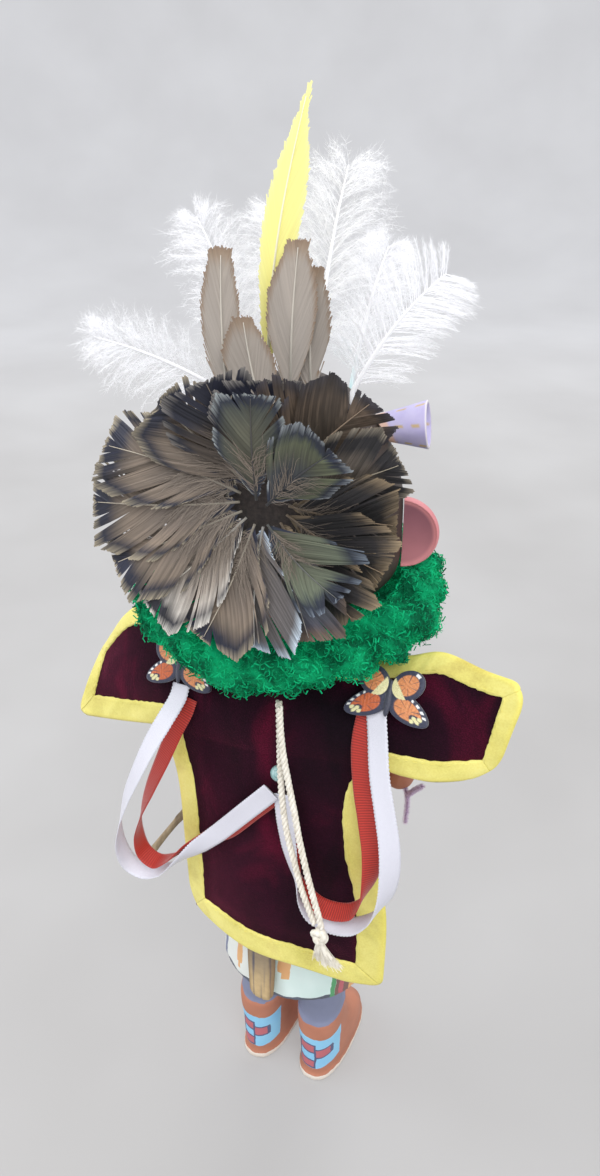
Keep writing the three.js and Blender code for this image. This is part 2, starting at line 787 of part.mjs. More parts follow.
function seatButterfly(mesh, row, column, turnDegrees) {
  const { place, normal } = capeSeat(row, column);
  const across = vector(0, 0, 1).cross(normal).normalize();
  const up = normal.clone().cross(across);
  mesh.matrix.makeBasis(across, up, normal);
  mesh.quaternion.setFromRotationMatrix(mesh.matrix);
  mesh.rotateZ(THREE.MathUtils.degToRad(turnDegrees));
  mesh.position.copy(place).addScaledVector(normal, butterfly.standOff);
}

// Ribbons: places on the route and the roll there, in degrees from facing back

const ribbonRoutes = {
  white_ribbon_left: [
    [34.2, 25.6, 214.6, 0],
    [34.2, 28.4, 210.6, 3],
    [35.4, 35.4, 205, 12],
    [38.8, 40.4, 196.5, 20],
    [43.5, 44, 184.5, 32],
    [49.5, 45, 170, 46],
    [54.6, 44, 155, 64],
    [57, 42, 141.5, 88],
    [55.2, 40, 132, 105],
    [49.2, 39, 129.5, 112],
    [40.5, 38.5, 133.5, 100],
    [31.5, 38, 142.5, 60],
    [24.2, 36.6, 151, 20],
    [16.5, 35, 159.5, 0],
    [2.5, 34.8, 177, 0],
    [-6.6, 34.7, 188.3, 0],
  ],
  red_ribbon_left: [
    [31, 26.2, 210, 0],
    [31.8, 28.2, 205.5, 4],
    [33.8, 31.2, 199.5, 10],
    [38, 34.5, 187, 20],
    [43.5, 37, 172.5, 36],
    [48.2, 38, 159.5, 58],
    [50.6, 38.2, 147.5, 86],
    [49, 38, 138.8, 104],
    [43.8, 37.9, 136.2, 108],
    [36.4, 37.4, 140.8, 84],
    [28.6, 35.2, 147.8, 42],
    [20, 33.4, 155, 10],
    [12.6, 33, 161.6, 0],
    [2.4, 32.8, 174.2, 0],
    [-5, 32.6, 183.2, 0],
  ],
  white_ribbon_right: [
    [-38.3, 20.1, 230, 0],
    [-39.5, 23.8, 225.6, 0],
    [-41.6, 27.2, 218.4, 0],
    [-44.6, 31.6, 207, -4],
    [-48.3, 35, 196, -10],
    [-51.4, 37.5, 185, -20],
    [-52.5, 39, 174, -36],
    [-51.5, 39.6, 163, -60],
    [-47.5, 39.6, 153, -92],
    [-40.5, 39.4, 145, -112],
    [-32.6, 39.2, 142, -114],
    [-25, 39.2, 143.2, -108],
    [-20, 38.8, 149, -80],
    [-16.8, 38, 157.5, -40],
    [-14.4, 36.6, 167, -12],
    [-12.2, 35.2, 178, 0],
    [-10.2, 33.2, 187.4, 0],
  ],
  red_ribbon_right: [
    [-36.2, 21.1, 226.6, 0],
    [-36.1, 24, 222, 0],
    [-36.1, 27.3, 212.7, 0],
    [-38.7, 30.5, 198.4, -4],
    [-41.9, 33, 188, -12],
    [-44.6, 35, 176.5, -30],
    [-44.8, 36.4, 167, -56],
    [-43, 37.4, 157.5, -90],
    [-39, 37.6, 150, -112],
    [-32.3, 37.6, 146.6, -114],
    [-25.2, 37.4, 146.8, -106],
    [-20, 36.6, 151.5, -74],
    [-16.6, 35.6, 159, -36],
    [-13.6, 34.2, 168, -10],
    [-10.8, 32.4, 177, 0],
    [-8.4, 31.3, 184, 0],
  ],
};

function ribbonGeometry(rows) {
  const places = rows.map(([x, y, z]) => vector(x, y, z));
  const curve = new THREE.CatmullRomCurve3(places, false, 'centripetal');
  const grid = [[], []];
  for (let i = 0; i <= ribbon.steps; i += 1) {
    const share = (i / ribbon.steps) * (rows.length - 1);
    const before = Math.min(Math.floor(share), rows.length - 2);
    const roll = THREE.MathUtils.lerp(rows[before][3], rows[before + 1][3], share - before);
    const centre = curve.getPoint(i / ribbon.steps);
    const tangent = curve.getTangent(i / ribbon.steps);
    const facing = vector(0, 1, 0).addScaledVector(tangent, -tangent.y).normalize();
    facing.applyAxisAngle(tangent, THREE.MathUtils.degToRad(roll));
    const side = facing.cross(tangent).multiplyScalar(ribbon.width / 2);
    grid[0].push(centre.clone().sub(side));
    grid[1].push(centre.clone().add(side));
  }
  return plate(grid, ribbon.thickness);
}

const beadPlace = vector(-8.6, 32.6, 195.6);

const cordRoutes = {
  tie_cord_left: [
    [-12, 38.4, 230],
    [-12.2, 38.4, 222],
    [-12.3, 38.6, 212],
    [-12.8, 39.2, 201],
    [-13.8, 40, 190.5],
    [-16, 41.4, 180],
    [-19.8, 43, 168.5],
    [-23.4, 44.2, 158],
    [-26.8, 44.8, 150],
    [-28.6, 45, 146],
  ],
  tie_cord_right: [
    [-13.5, 40.7, 230],
    [-13.7, 40.7, 222],
    [-14.7, 40.9, 212],
    [-16.8, 41.3, 201],
    [-19.2, 42, 190.5],
    [-21.6, 43, 180],
    [-25, 44.4, 168.5],
    [-28, 45, 158],
    [-30.6, 45.6, 150],
    [-31.6, 45.8, 146],
  ],
};

const knotPlace = vector(-31, 46, 142.2);

function knotGeometry() {
  const ball = new THREE.SphereGeometry(knot.radius, 8, 6);
  ball.scale(1, 0.85, 1.15);
  const rings = [0, 0.35, 0.7, 1].map((share) => {
    const radius = THREE.MathUtils.lerp(knot.radius * 0.55, knot.tasselRadius, share);
    const centre = vector(-2.6 * share, 0, -knot.radius * 0.5 - share * knot.tasselLength);
    return levelRing(centre, radius, radius * 0.6, 8);
  });
  return geometryOf(solidOf(ball).add(solidOf(loft(rings))));
}

// Ruff: a thick woolly ring that hangs lower at the back of the head

function ruffGeometry() {
  const inner = Math.max(figure.neckRadius + 6, ruff.outerRadius * 0.38);
  const [around, sides] = [24, 8];
  const rings = [];
  const underHead = head.radius + clearance + 1;
  for (let i = 0; i < around; i += 1) {
    const angle = (2 * Math.PI * i) / around;
    const back = Math.max(0, Math.sin(angle));
    const outer = ruff.outerRadius - 4.5 * back + ruff.lump * 1.6 * spread(i, 1);
    const middle = (inner + outer) / 2;
    const centreZ = headBaseZ - 1 - ruff.rearDrop * back ** 1.5;
    const halfHeight = (sine) => (sine > 0 ? ruff.riseAbove : ruff.hangBelow) * (1 - 0.2 * back);
    const ring = [];
    for (let k = 0; k < sides; k += 1) {
      const turn = (2 * Math.PI * k) / sides;
      const bulge = 1 + (ruff.lump / 14) * spread(i * sides + k, 2);
      const across = ((outer - inner) / 2) * Math.cos(turn) * bulge;
      const radius = middle + across;
      const sine = Math.sin(turn);
      let z = centreZ + halfHeight(sine) * Math.sign(sine) * Math.abs(sine) ** 0.75 * bulge;
      const [x, y] = [radius * Math.cos(angle) + ruff.aside, radius * Math.sin(angle)];
      if (Math.hypot(x, y) < underHead) z = Math.min(z, headBaseZ - 2);
      ring.push(vector(x, y + head.setBack, z));
    }
    rings.push(ring);
  }
  return loft(rings, true);
}

// Feathers

function featherProfile(share, blunt) {
  const opening = 0.1 + 0.9 * smoothstep(0.03, 0.62, share);
  const closing = 1 - (1 - blunt) * smoothstep(0.62, 1, share) ** 1.6;
  return opening * closing;
}

const rosetteHub = {
  z: headBaseZ + rosette.hubHeight,
  y: head.radius + clearance + rosette.backingThickness + clearance,
};

// Reach of the rosette in a direction, as a disc whose hub is off its centre: 0 is up, 90 is the right side
function rosetteReach(angle) {
  const away = Math.sin(angle) + 0.9 * Math.cos(angle);
  const upper = rosette.upperSweep * Math.exp(-(((angle - 0.84) / 0.5) ** 2));
  return rosette.reach - rosette.widening * Math.cos(2 * angle) - rosette.hubOffCentre * away + upper;
}

function rosetteBlade(angle, reach, width, level, twist, start) {
  const [rows, columns] = [5, 1];
  const cone = rosette.cone * (1 + 0.5 * Math.max(0, -Math.cos(angle)));
  const direction = vector(-Math.sin(angle), 0, Math.cos(angle));
  const across = vector(Math.cos(angle), 0, Math.sin(angle));
  const grid = [];
  for (let c = 0; c <= columns; c += 1) {
    grid.push([]);
    for (let r = 0; r <= rows; r += 1) {
      const share = r / rows;
      const along = THREE.MathUtils.lerp(start, reach, share);
      const aside = (width / 2) * featherProfile(share, 0.66) * ((2 * c) / columns - 1);
      const point = direction.clone().multiplyScalar(along).addScaledVector(across, aside);
      point.y = level + cone * along + twist * aside;
      point.z += rosetteHub.z;
      grid[c].push(point);
    }
  }
  return plate(grid, rosette.bladeThickness);
}

function crownBlade({ base, tip, width, bow, blunt }) {
  const [rows, columns] = [9, 2];
  const foot = headTopAt(...base) - quillDepth;
  const start = vector(base[0], base[1], foot);
  const end = vector(...tip);
  const stem = (headTopAt(...base) + 2 - foot) / (end.z - foot);
  const grid = [];
  for (let c = 0; c <= columns; c += 1) {
    grid.push([]);
    for (let r = 0; r <= rows; r += 1) {
      const share = r < 2 ? (r / 2) * stem : THREE.MathUtils.lerp(stem, 1, (r - 2) / (rows - 2));
      const vane = Math.max(0, (share - stem) / (1 - stem));
      const open = (width / 2) * featherProfile(vane * 0.97 + 0.03, blunt);
      const half = vane === 0 ? quillRadius * 0.7 : open;
      const sway = bow * Math.sin(Math.PI * vane) + (end.x - start.x) * vane ** 1.2;
      const side = (2 * c) / columns - 1;
      const point = vector(start.x + sway + half * side, start.y - 0.5 * side ** 2 * vane, 0);
      point.z = THREE.MathUtils.lerp(start.z, end.z, share);
      grid[c].push(point);
    }
  }
  return plate(grid, rosette.bladeThickness);
}

function plumeGeometry({ base, tip, width, thickness }, index) {
  const top = headTopAt(...base);
  const quillEnd = vector(base[0], base[1], top + 4);
  const { lerp } = THREE.MathUtils;
  const middle = vector(lerp(base[0], tip[0], 0.45), base[1], lerp(top + 8, tip[2], 0.62));
  const curve = new THREE.QuadraticBezierCurve3(quillEnd, middle, vector(...tip));
  const quill = quillRadius * 0.85;
  const ringAt = (centre, side, half, deep) => {
    const ring = [];
    for (let k = 0; k < 7; k += 1) {
      const angle = (2 * Math.PI * k) / 7;
      const point = centre.clone().addScaledVector(side, half * Math.cos(angle));
      ring.push(point.add(vector(0, deep * Math.sin(angle), 0)));
    }
    return ring;
  };
  const steps = 7;
  const rings = [ringAt(vector(base[0], base[1], top - quillDepth), vector(1, 0, 0), quill, quill)];
  for (let i = 0; i <= steps; i += 1) {
    const share = i / steps;
    const tangent = curve.getTangent(share);
    const side = i === 0 ? vector(1, 0, 0) : vector(tangent.z, 0, -tangent.x).normalize();
    const fluff = Math.sin(Math.PI * (share * 0.94) ** 0.8);
    const half = Math.max(quill, (width / 2) * fluff * (1 + 0.12 * spread(i, index)));
    const deep = Math.max(quill, (thickness / 2) * Math.sqrt(fluff));
    rings.push(ringAt(curve.getPoint(share), side, half, deep));
  }
  return loft(rings);
}

function sprigStem() {
  const { x, y, z } = arms.right.fist;
  return [
    vector(x + 5, y - 7, z + 21),
    vector(x + 1.5, y - 2.5, z + 10),
    vector(x, y, z),
    vector(x - 5, y + 4, z - 6.5),
    vector(x - 6, y + 7, z - 17.5),
  ];
}

function sprigGeometry() {
  const { x, y, z } = arms.right.fist;
  const branch = [
    vector(x - 5, y + 4, z - 6.5),
    vector(x - 9, y + 8.5, z + 1),
    vector(x - 13, y + 11.5, z + 7),
  ];
  const stem = solidOf(tube(sprigStem(), chenille.diameter, chenille.steps, chenille.sides));
  return geometryOf(stem.add(solidOf(tube(branch, chenille.diameter, 3, chenille.sides))));
}

// Assembly

const doll = new THREE.Group();
const onHead = new THREE.Group();
onHead.rotation.z = headTurn;
onHead.position.y = head.setBack;
doll.add(onHead);

function finish(color, roughness) {
  return new THREE.MeshStandardMaterial({ color, roughness, metalness: 0 });
}

const paintedWood = finish(0xb5653d, 0.62);
const featherBrown = finish(0x6b6058, 0.6);
const featherGrey = finish(0x9a8f83, 0.6);
const featherWhite = finish(0xf2f2f4, 0.8);
const cottonCream = finish(0xe9e2cf, 0.85);
const whiteSatin = finish(0xe6e5f0, 0.35);
const redGrosgrain = finish(0xd8402e, 0.6);

function add(parent, name, geometry, material) {
  const mesh = new THREE.Mesh(geometry, material);
  mesh.name = name;
  parent.add(mesh);
  return mesh;
}

const cordNames = new Set(['bead', 'cord_knot']);

add(doll, 'figure', figureGeometry(), paintedWood);
add(doll, 'fox_tail', foxTailGeometry(), finish(0xa88a63, 0.75));
add(onHead, 'ear_right', earGeometry(-1), finish(0xc87878, 0.6));
add(onHead, 'ear_left', earGeometry(1), finish(0xc87878, 0.6));
add(onHead, 'blossom', blossomGeometry(), finish(0xb7b0dc, 0.6));

const capePart = (kind, thickness) => plate(capeSheet.rows, thickness, (r, c) => capeCellKind(r, c) === kind);
add(doll, 'cape', capePart('velvet', cape.velvetThickness), finish(0x2a0c1c, 0.9));
add(doll, 'cape_binding', capePart('binding', cape.bindingThickness), finish(0xf0e68c, 0.8));

const patch = finish(0xc8683a, 0.7);
seatButterfly(add(doll, 'butterfly_left', butterflyGeometry(), patch), 3.25, 7.05, 8);
seatButterfly(add(doll, 'butterfly_right', butterflyGeometry(), patch), 2.6, 14.75, 6);

Object.entries(ribbonRoutes).forEach(([name, rows]) => {
  add(doll, name, ribbonGeometry(rows), name.startsWith('white') ? whiteSatin : redGrosgrain);
  cordNames.add(name);
});

const beadShape = new THREE.SphereGeometry(bead.diameter / 2, 10, 7);
const beadMesh = add(doll, 'bead', beadShape, finish(0x6fa8a4, 0.35));
beadMesh.position.copy(beadPlace);

Object.entries(cordRoutes).forEach(([name, rows]) => {
  const points = rows.map(([x, y, z]) => vector(x, y, z));
  add(doll, name, tube(points, cord.diameter, cord.steps, cord.sides), cottonCream);
  cordNames.add(name);
});
add(doll, 'cord_knot', knotGeometry(), cottonCream).position.copy(knotPlace);

add(doll, 'ruff', ruffGeometry(), finish(0x0f8a5a, 0.95));

const { backingRadius, backingThickness } = rosette;
const backing = new THREE.CylinderGeometry(backingRadius, backingRadius, backingThickness, 20);
backing.translate(0, rosetteHub.y - clearance - backingThickness / 2, rosetteHub.z);
add(onHead, 'rosette_backing', backing, finish(0x3a3230, 0.8));

for (let i = 0; i < rosette.featherCount; i += 1) {
  const angle = (2 * Math.PI * i) / rosette.featherCount;
  const reach = rosetteReach(angle) + 1.5 * spread(i, 3);
  const level = rosetteHub.y + 2.4;
  const name = `rosette_feather_${String(i + 1).padStart(2, '0')}`;
  add(onHead, name, rosetteBlade(angle, reach, rosette.featherWidth, level, rosette.twist, 7), featherBrown);
}

// Three broad feathers lie over the rosette: direction in degrees from upright, reach and width
const topFeathers = [
  [1, 34, 20],
  [46, 30, 23],
  [131, 32, 29],
];
topFeathers.forEach(([degrees, reach, width], i) => {
  const name = `rosette_feather_${rosette.featherCount + 1 + i}`;
  const level = rosetteHub.y + 2.4 + (rosette.twist * rosette.featherWidth) / 2 + 3.9;
  const angle = THREE.MathUtils.degToRad(degrees);
  add(onHead, name, rosetteBlade(angle, reach, width, level, 0.14, 4), finish(0x3d3f45, 0.45));
});

Object.entries(crown).forEach(([name, feather]) => {
  add(onHead, name, crownBlade(feather), name === 'yellow_feather' ? finish(0xf6ef4e, 0.6) : featherGrey);
});
Object.entries(plumes).forEach(([name, plume], i) => {
  add(onHead, name, plumeGeometry(plume, i + 5), featherWhite);
});

add(doll, 'stick', tube(stickPath(arms.left.fist), stick.diameter, 1, stick.sides), finish(0x8a7a63, 0.7));
add(doll, 'chenille_sprig', sprigGeometry(), finish(0xc9a8cc, 0.95));

// The doll's own box, without its ribbons and cords, is centred over the origin
doll.updateMatrixWorld(true);
const ownBox = new THREE.Box3();
doll.traverse((piece) => {
  if (piece.isMesh && !cordNames.has(piece.name)) ownBox.union(new THREE.Box3().setFromObject(piece, true));
});
const ownCentre = ownBox.getCenter(vector());
doll.position.set(-ownCentre.x, -ownCentre.y, -ownBox.min.z);

export default doll;
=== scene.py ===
# Kachina doll in its dress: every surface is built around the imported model

import math

import bmesh
import bpy
import numpy as np
from mathutils import Matrix, Vector


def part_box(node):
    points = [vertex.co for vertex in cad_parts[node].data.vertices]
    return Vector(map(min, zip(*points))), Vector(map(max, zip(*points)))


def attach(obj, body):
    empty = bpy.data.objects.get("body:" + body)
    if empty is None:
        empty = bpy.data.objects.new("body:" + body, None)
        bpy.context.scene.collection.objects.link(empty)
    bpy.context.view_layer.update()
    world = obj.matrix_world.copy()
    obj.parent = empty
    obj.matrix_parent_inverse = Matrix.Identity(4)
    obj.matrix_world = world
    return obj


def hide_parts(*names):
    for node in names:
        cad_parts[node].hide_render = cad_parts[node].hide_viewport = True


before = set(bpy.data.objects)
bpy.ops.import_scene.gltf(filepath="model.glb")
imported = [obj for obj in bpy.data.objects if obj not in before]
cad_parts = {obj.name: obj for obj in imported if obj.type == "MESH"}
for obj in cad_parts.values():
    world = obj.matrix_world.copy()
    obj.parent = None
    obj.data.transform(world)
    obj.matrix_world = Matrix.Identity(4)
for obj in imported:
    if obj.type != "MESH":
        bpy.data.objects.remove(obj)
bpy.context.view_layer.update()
mm = 0.001

# The solids stand a little off the doll's own axis: the bead tells by how much
beadPlace = np.array((-8.6, 32.6, 195.6))
beadLow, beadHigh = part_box("bead")
dollShift = np.array((beadLow + beadHigh) / 2) / mm - beadPlace
print("doll stands off its axis by", np.round(dollShift, 3), "mm")

waistZ, hemZ = 140.0, 70.0
headBaseZ, headHeight, headRadius = 254.0, 71.0, 34.5
headTurn, headBack = math.radians(14), 2.0


def inFrame(points):
    return (np.asarray(points, float) + dollShift) * mm


def onHead(points):
    p = np.asarray(points, float)
    c, s = math.cos(headTurn), math.sin(headTurn)
    across, along = c * p[..., 0] - s * p[..., 1], s * p[..., 0] + c * p[..., 1] + headBack
    turned = np.stack([across, along, p[..., 2]], -1)
    return inFrame(turned)


# Camera, floor and light

cameraFacts = {
    "place": (-122.58, 240.57, 393.0),
    "lookDown": 28.0,
    "heading": 207.0,
    "focalPixels": 888.0,
    "longSide": 1176.0,
}


def makeCamera(facts):
    data = bpy.data.cameras.new("camera")
    data.sensor_width = 36.0
    data.lens = facts["focalPixels"] * data.sensor_width / facts["longSide"]
    data.clip_start, data.clip_end = 0.01, 30.0
    camera = bpy.data.objects.new("camera", data)
    bpy.context.scene.collection.objects.link(camera)
    camera.location = inFrame(facts["place"])
    camera.rotation_euler = (math.radians(90 - facts["lookDown"]), 0, math.radians(facts["heading"]))
    bpy.context.scene.camera = camera


# Mesh helpers


def smoothstep(low, high, value):
    t = np.clip((np.asarray(value, float) - low) / (high - low), 0, 1)
    return t * t * (3 - 2 * t)


def unit(vectors):
    return vectors / np.maximum(np.linalg.norm(vectors, axis=-1, keepdims=True), 1e-12)


def splineThrough(controls):
    # the same centripetal curve that the solids follow
    points = np.asarray(controls, float)
    padded = np.vstack([2 * points[0] - points[1], points, 2 * points[-1] - points[-2]])

    def at(shares):
        place = np.clip(np.atleast_1d(np.asarray(shares, float)), 0, 1) * (len(points) - 1)
        cell = np.minimum(place.astype(int), len(points) - 2)
        t = (place - cell)[:, None]
        p0, p1, p2, p3 = (padded[cell + k] for k in range(4))
        d0, d1, d2 = (
            np.sqrt(np.maximum(np.linalg.norm(b - a, axis=1), 1e-6))[:, None]
            for a, b in ((p0, p1), (p1, p2), (p2, p3))
        )
        m1 = ((p1 - p0) / d0 - (p2 - p0) / (d0 + d1) + (p2 - p1) / d1) * d1
        m2 = ((p2 - p1) / d1 - (p3 - p1) / (d1 + d2) + (p3 - p2) / d2) * d1
        return (
            (2 * t**3 - 3 * t**2 + 1) * p1
            + (t**3 - 2 * t**2 + t) * m1
            + (3 * t**2 - 2 * t**3) * p2
            + (t**3 - t**2) * m2
        )

    return at


def evenSpline(controls):
    # the same curve, stepped evenly by length; returns it and its length
    at = splineThrough(controls)
    fine = np.linspace(0, 1, 201)
    run = np.r_[0, np.cumsum(np.linalg.norm(np.diff(at(fine), axis=0), axis=1))]

    def even(shares):
        return at(np.interp(np.atleast_1d(shares) * run[-1], run, fine))

    return even, run[-1]


def alongPath(points):
    return np.r_[0, np.cumsum(np.linalg.norm(np.diff(points, axis=0), axis=1))]


def gridFaces(rows, columns, around=False, ends=False, start=0):
    last = columns if around else columns - 1
    faces = []
    for r in range(rows - 1):
        for c in range(last):
            a, b = start + r * columns + c, start + r * columns + (c + 1) % columns
            faces.append((a, b, b + columns, a + columns))
    if ends:
        faces.append(tuple(start + c for c in reversed(range(columns))))
        faces.append(tuple(start + (rows - 1) * columns + c for c in range(columns)))
    return faces


def addPiece(name, points, faces, finish, fields=None, uv=None, smooth=True):
    mesh = bpy.data.meshes.new(name)
    points = np.asarray(points, float).reshape(-1, 3)
    mesh.from_pydata(points.tolist(), [], [tuple(f) for f in faces])
    if smooth:
        mesh.polygons.foreach_set("use_smooth", np.ones(len(mesh.polygons), bool))
    for key, values in (fields or {}).items():
        values = np.asarray(values, np.float32)
        kind = "FLOAT" if values.ndim == 1 else "FLOAT_COLOR"
        attribute = mesh.attributes.new(key, kind, "POINT")
        attribute.data.foreach_set("value" if kind == "FLOAT" else "color", values.ravel())
    if uv is not None:
        layer = mesh.uv_layers.new(name="weave")
        corners = np.zeros(len(mesh.loops), np.int32)
        mesh.loops.foreach_get("vertex_index", corners)
        layer.data.foreach_set("uv", np.asarray(uv, np.float32)[corners].ravel())
    mesh.validate()
    made = bpy.data.objects.new(name, mesh)
    bpy.context.scene.collection.objects.link(made)
    if finish is not None:
        mesh.materials.append(finish)
    return made


def outward(made):
    work = bmesh.new()
    work.from_mesh(made.data)
    bmesh.ops.recalc_face_normals(work, faces=work.faces)
    work.to_mesh(made.data)
    work.free()


def settle(made, slotName, *nodes):
    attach(made, "root")
    if nodes:
        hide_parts(*nodes)
    return made


def sweep(centres, radii, sides, squash=1.0):
    # rings round a path, with frames carried along it
    centres = np.asarray(centres, float)
    radii = np.broadcast_to(np.asarray(radii, float), (len(centres),))
    tangents = unit(np.gradient(centres, axis=0))
    first = np.cross(tangents[0], (0, 0, 1.0))
    if np.linalg.norm(first) < 0.1:
        first = np.cross(tangents[0], (0, 1.0, 0))
    side = unit(first)
    rings = []
    turn = np.linspace(0, 2 * math.pi, sides, endpoint=False)
    for centre, tangent, radius in zip(centres, tangents, radii):
        side = unit(side - tangent * np.dot(side, tangent))
        up = np.cross(tangent, side)
        rings.append(centre + radius * (np.outer(np.cos(turn), side) + squash * np.outer(np.sin(turn), up)))
    return np.array(rings)


def ribbonsOf(lines, widths, facing, start=0):
    # flat strips along many lines: lines (n, m, 3), widths (n, m), facing (n, m, 3)
    tangents = unit(np.gradient(lines, axis=1))
    side = unit(np.cross(tangents, facing)) * widths[..., None] / 2
    points = np.stack([lines - side, lines + side], 2)
    n, m = lines.shape[:2]
    base = (np.arange(n)[:, None] * m + np.arange(m - 1)[None, :]) * 2 + start
    faces = np.stack([base, base + 1, base + 3, base + 2], -1).reshape(-1, 4)
    return points.reshape(-1, 3), faces.tolist()


def joinParts(parts):
    # several (points, faces) into one, with the faces renumbered
    points, faces, start = [], [], 0
    for p, f in parts:
        p = np.asarray(p, float).reshape(-1, 3)
        points.append(p)
        faces.extend(tuple(i + start for i in face) for face in f)
        start += len(p)
    return np.vstack(points), faces


# Material helpers


def tone(red, green, blue):
    # a colour as it looks in daylight, made linear
    return tuple(((v / 255 + 0.055) / 1.055) ** 2.4 for v in (red, green, blue))


def addNode(tree, kind, inputs=None, **settings):
    made = tree.nodes.new(kind)
    for key, value in settings.items():
        setattr(made, key, value)
    for key, value in (inputs or {}).items():
        socket = made.inputs[key]
        if isinstance(value, bpy.types.NodeSocket):
            tree.links.new(value, socket)
        else:
            socket.default_value = value
    return made


def newFinish(name, roughness, **constants):
    finish = bpy.data.materials.new(name)
    finish.use_nodes = True
    shader = finish.node_tree.nodes["Principled BSDF"]
    shader.inputs["Roughness"].default_value = roughness
    for key, value in constants.items():
        shader.inputs[key.replace("_", " ")].default_value = value
    return finish, finish.node_tree, shader


def math2(tree, operation, a, b=0.0, c=0.0):
    made = tree.nodes.new("ShaderNodeMath")
    made.operation = operation
    for socket, value in zip(made.inputs, (a, b, c)):
        if isinstance(value, bpy.types.NodeSocket):
            tree.links.new(value, socket)
        else:
            socket.default_value = value
    return made.outputs[0]


def mixColour(tree, factor, a, b, blend="MIX"):
    made = addNode(tree, "ShaderNodeMix", data_type="RGBA", blend_type=blend)
    for socket, value in ((made.inputs[0], factor), (made.inputs[6], a), (made.inputs[7], b)):
        if isinstance(value, bpy.types.NodeSocket):
            tree.links.new(value, socket)
        else:
            socket.default_value = (*value, 1.0) if isinstance(value, tuple) and len(value) == 3 else value
    return made.outputs[2]


def ramp(tree, factor, stops):
    made = tree.nodes.new("ShaderNodeValToRGB")
    band = made.color_ramp
    while len(band.elements) < len(stops):
        band.elements.new(0.5)
    for element, (place, colour) in zip(band.elements, stops):
        element.position = place
        element.color = (*colour, 1.0) if len(colour) == 3 else colour
    tree.links.new(factor, made.inputs[0])
    return made.outputs[0]


def noiseOf(tree, scale, detail=3.0, vector=None, roughness=0.5, stretch=None, distortion=0.0):
    if vector is None:
        vector = addNode(tree, "ShaderNodeTexCoord").outputs["Object"]
    if stretch is not None:
        vector = addNode(tree, "ShaderNodeMapping", {"Vector": vector, "Scale": stretch}).outputs[0]
    settings = {"Vector": vector, "Scale": scale, "Detail": detail, "Roughness": roughness}
    settings["Distortion"] = distortion
    return addNode(tree, "ShaderNodeTexNoise", settings).outputs["Fac"]


def setBump(tree, shader, height, strength, distance):
    bump = addNode(tree, "ShaderNodeBump", {"Height": height, "Strength": strength, "Distance": distance})
    tree.links.new(bump.outputs[0], shader.inputs["Normal"])


def setColour(tree, shader, colour):
    tree.links.new(colour, shader.inputs["Base Color"])


def grainOver(tree, factor, colour, noise, low, high):
    # noise laid over a colour, from black to white
    return mixColour(
        tree, factor, colour, ramp(tree, noise, [(low, (0, 0, 0)), (high, (1, 1, 1))]), "OVERLAY"
    )


def readField(tree, name, output="Fac"):
    return addNode(tree, "ShaderNodeAttribute", attribute_name=name).outputs[output]


def tintedFinish(name, roughness, fine, bump, mottle=0.25, **constants):
    # colour from the tint of each place, with fine noise for the surface
    finish, tree, shader = newFinish(name, roughness, **constants)
    noise = noiseOf(tree, fine, 4.0)
    shade = ramp(tree, noise, [(0.25, (0.3, 0.3, 0.3)), (0.75, (0.7, 0.7, 0.7))])
    setColour(tree, shader, mixColour(tree, mottle, readField(tree, "tint", "Color"), shade, "OVERLAY"))
    setBump(tree, shader, noise, bump, 0.0004)
    return finish


def withAlpha(tint):
    flat = np.asarray(tint, float).reshape(-1, 3)
    return np.hstack([np.clip(flat, 0.002, 0.95), np.ones((len(flat), 1))])


# Geometry Nodes helper: scatter one small shape over a host or along a path, and make it plain mesh


def newTree(name, inputs):
    tree = bpy.data.node_groups.new(name, "GeometryNodeTree")
    tree.interface.new_socket("Geometry", in_out="INPUT", socket_type="NodeSocketGeometry")
    tree.interface.new_socket("Geometry", in_out="OUTPUT", socket_type="NodeSocketGeometry")
    for label, kind, default in inputs:
        socket = tree.interface.new_socket(label, in_out="INPUT", socket_type="NodeSocket" + kind)
        if kind in ("Float", "Int"):
            socket.default_value = default
    return tree, tree.nodes.new("NodeGroupInput").outputs, tree.nodes.new("NodeGroupOutput")


def endTree(tree, out, instances, finish, host=None):
    # plain mesh of all the small shapes, with the host where it stays
    geometry = addNode(tree, "GeometryNodeRealizeInstances", {"Geometry": instances}).outputs[0]
    if host is not None:
        both = addNode(tree, "GeometryNodeJoinGeometry")
        tree.links.new(geometry, both.inputs[0])
        tree.links.new(host, both.inputs[0])
        geometry = both.outputs[0]
    painted = addNode(tree, "GeometryNodeSetMaterial", {"Geometry": geometry, "Material": finish})
    tree.links.new(painted.outputs[0], out.inputs[0])
    return tree


def keepShade(tree, instances):
    # a random shade for each instance, under the name that the finishes read
    shade = addNode(tree, "FunctionNodeRandomValue", {"Seed": 5}, data_type="FLOAT")
    keep = addNode(tree, "GeometryNodeStoreNamedAttribute", {"Geometry": instances, "Name": "strand"},
                   data_type="FLOAT", domain="INSTANCE")
    tree.links.new(shade.outputs[1], keep.inputs["Value"])
    return keep.outputs[0]


def runTree(host, tree, values, name, finish):
    modifier = host.modifiers.new(tree.name, "NODES")
    modifier.node_group = tree
    for item in tree.interface.items_tree:
        if item.in_out == "INPUT" and item.name in values:
            modifier[item.identifier] = values[item.name]
    host.update_tag()
    bpy.context.view_layer.update()
    graph = bpy.context.evaluated_depsgraph_get()
    mesh = bpy.data.meshes.new_from_object(host.evaluated_get(graph), depsgraph=graph)
    host.modifiers.remove(modifier)
    mesh.name = name
    mesh.materials.clear()
    mesh.materials.append(finish)
    made = bpy.data.objects.new(name, mesh)
    bpy.context.scene.collection.objects.link(made)
    return made


def dropHelpers(*helpers):
    for helper in helpers:
        bpy.data.objects.remove(helper)


makeCamera(cameraFacts)
print("camera made")

# Ribbons: route as x, y, z and roll from facing back, as the solids have it

ribbonFacts = {"width": 7.0, "thickness": 0.45, "ribPitch": 0.9, "picotPitch": 1.3}

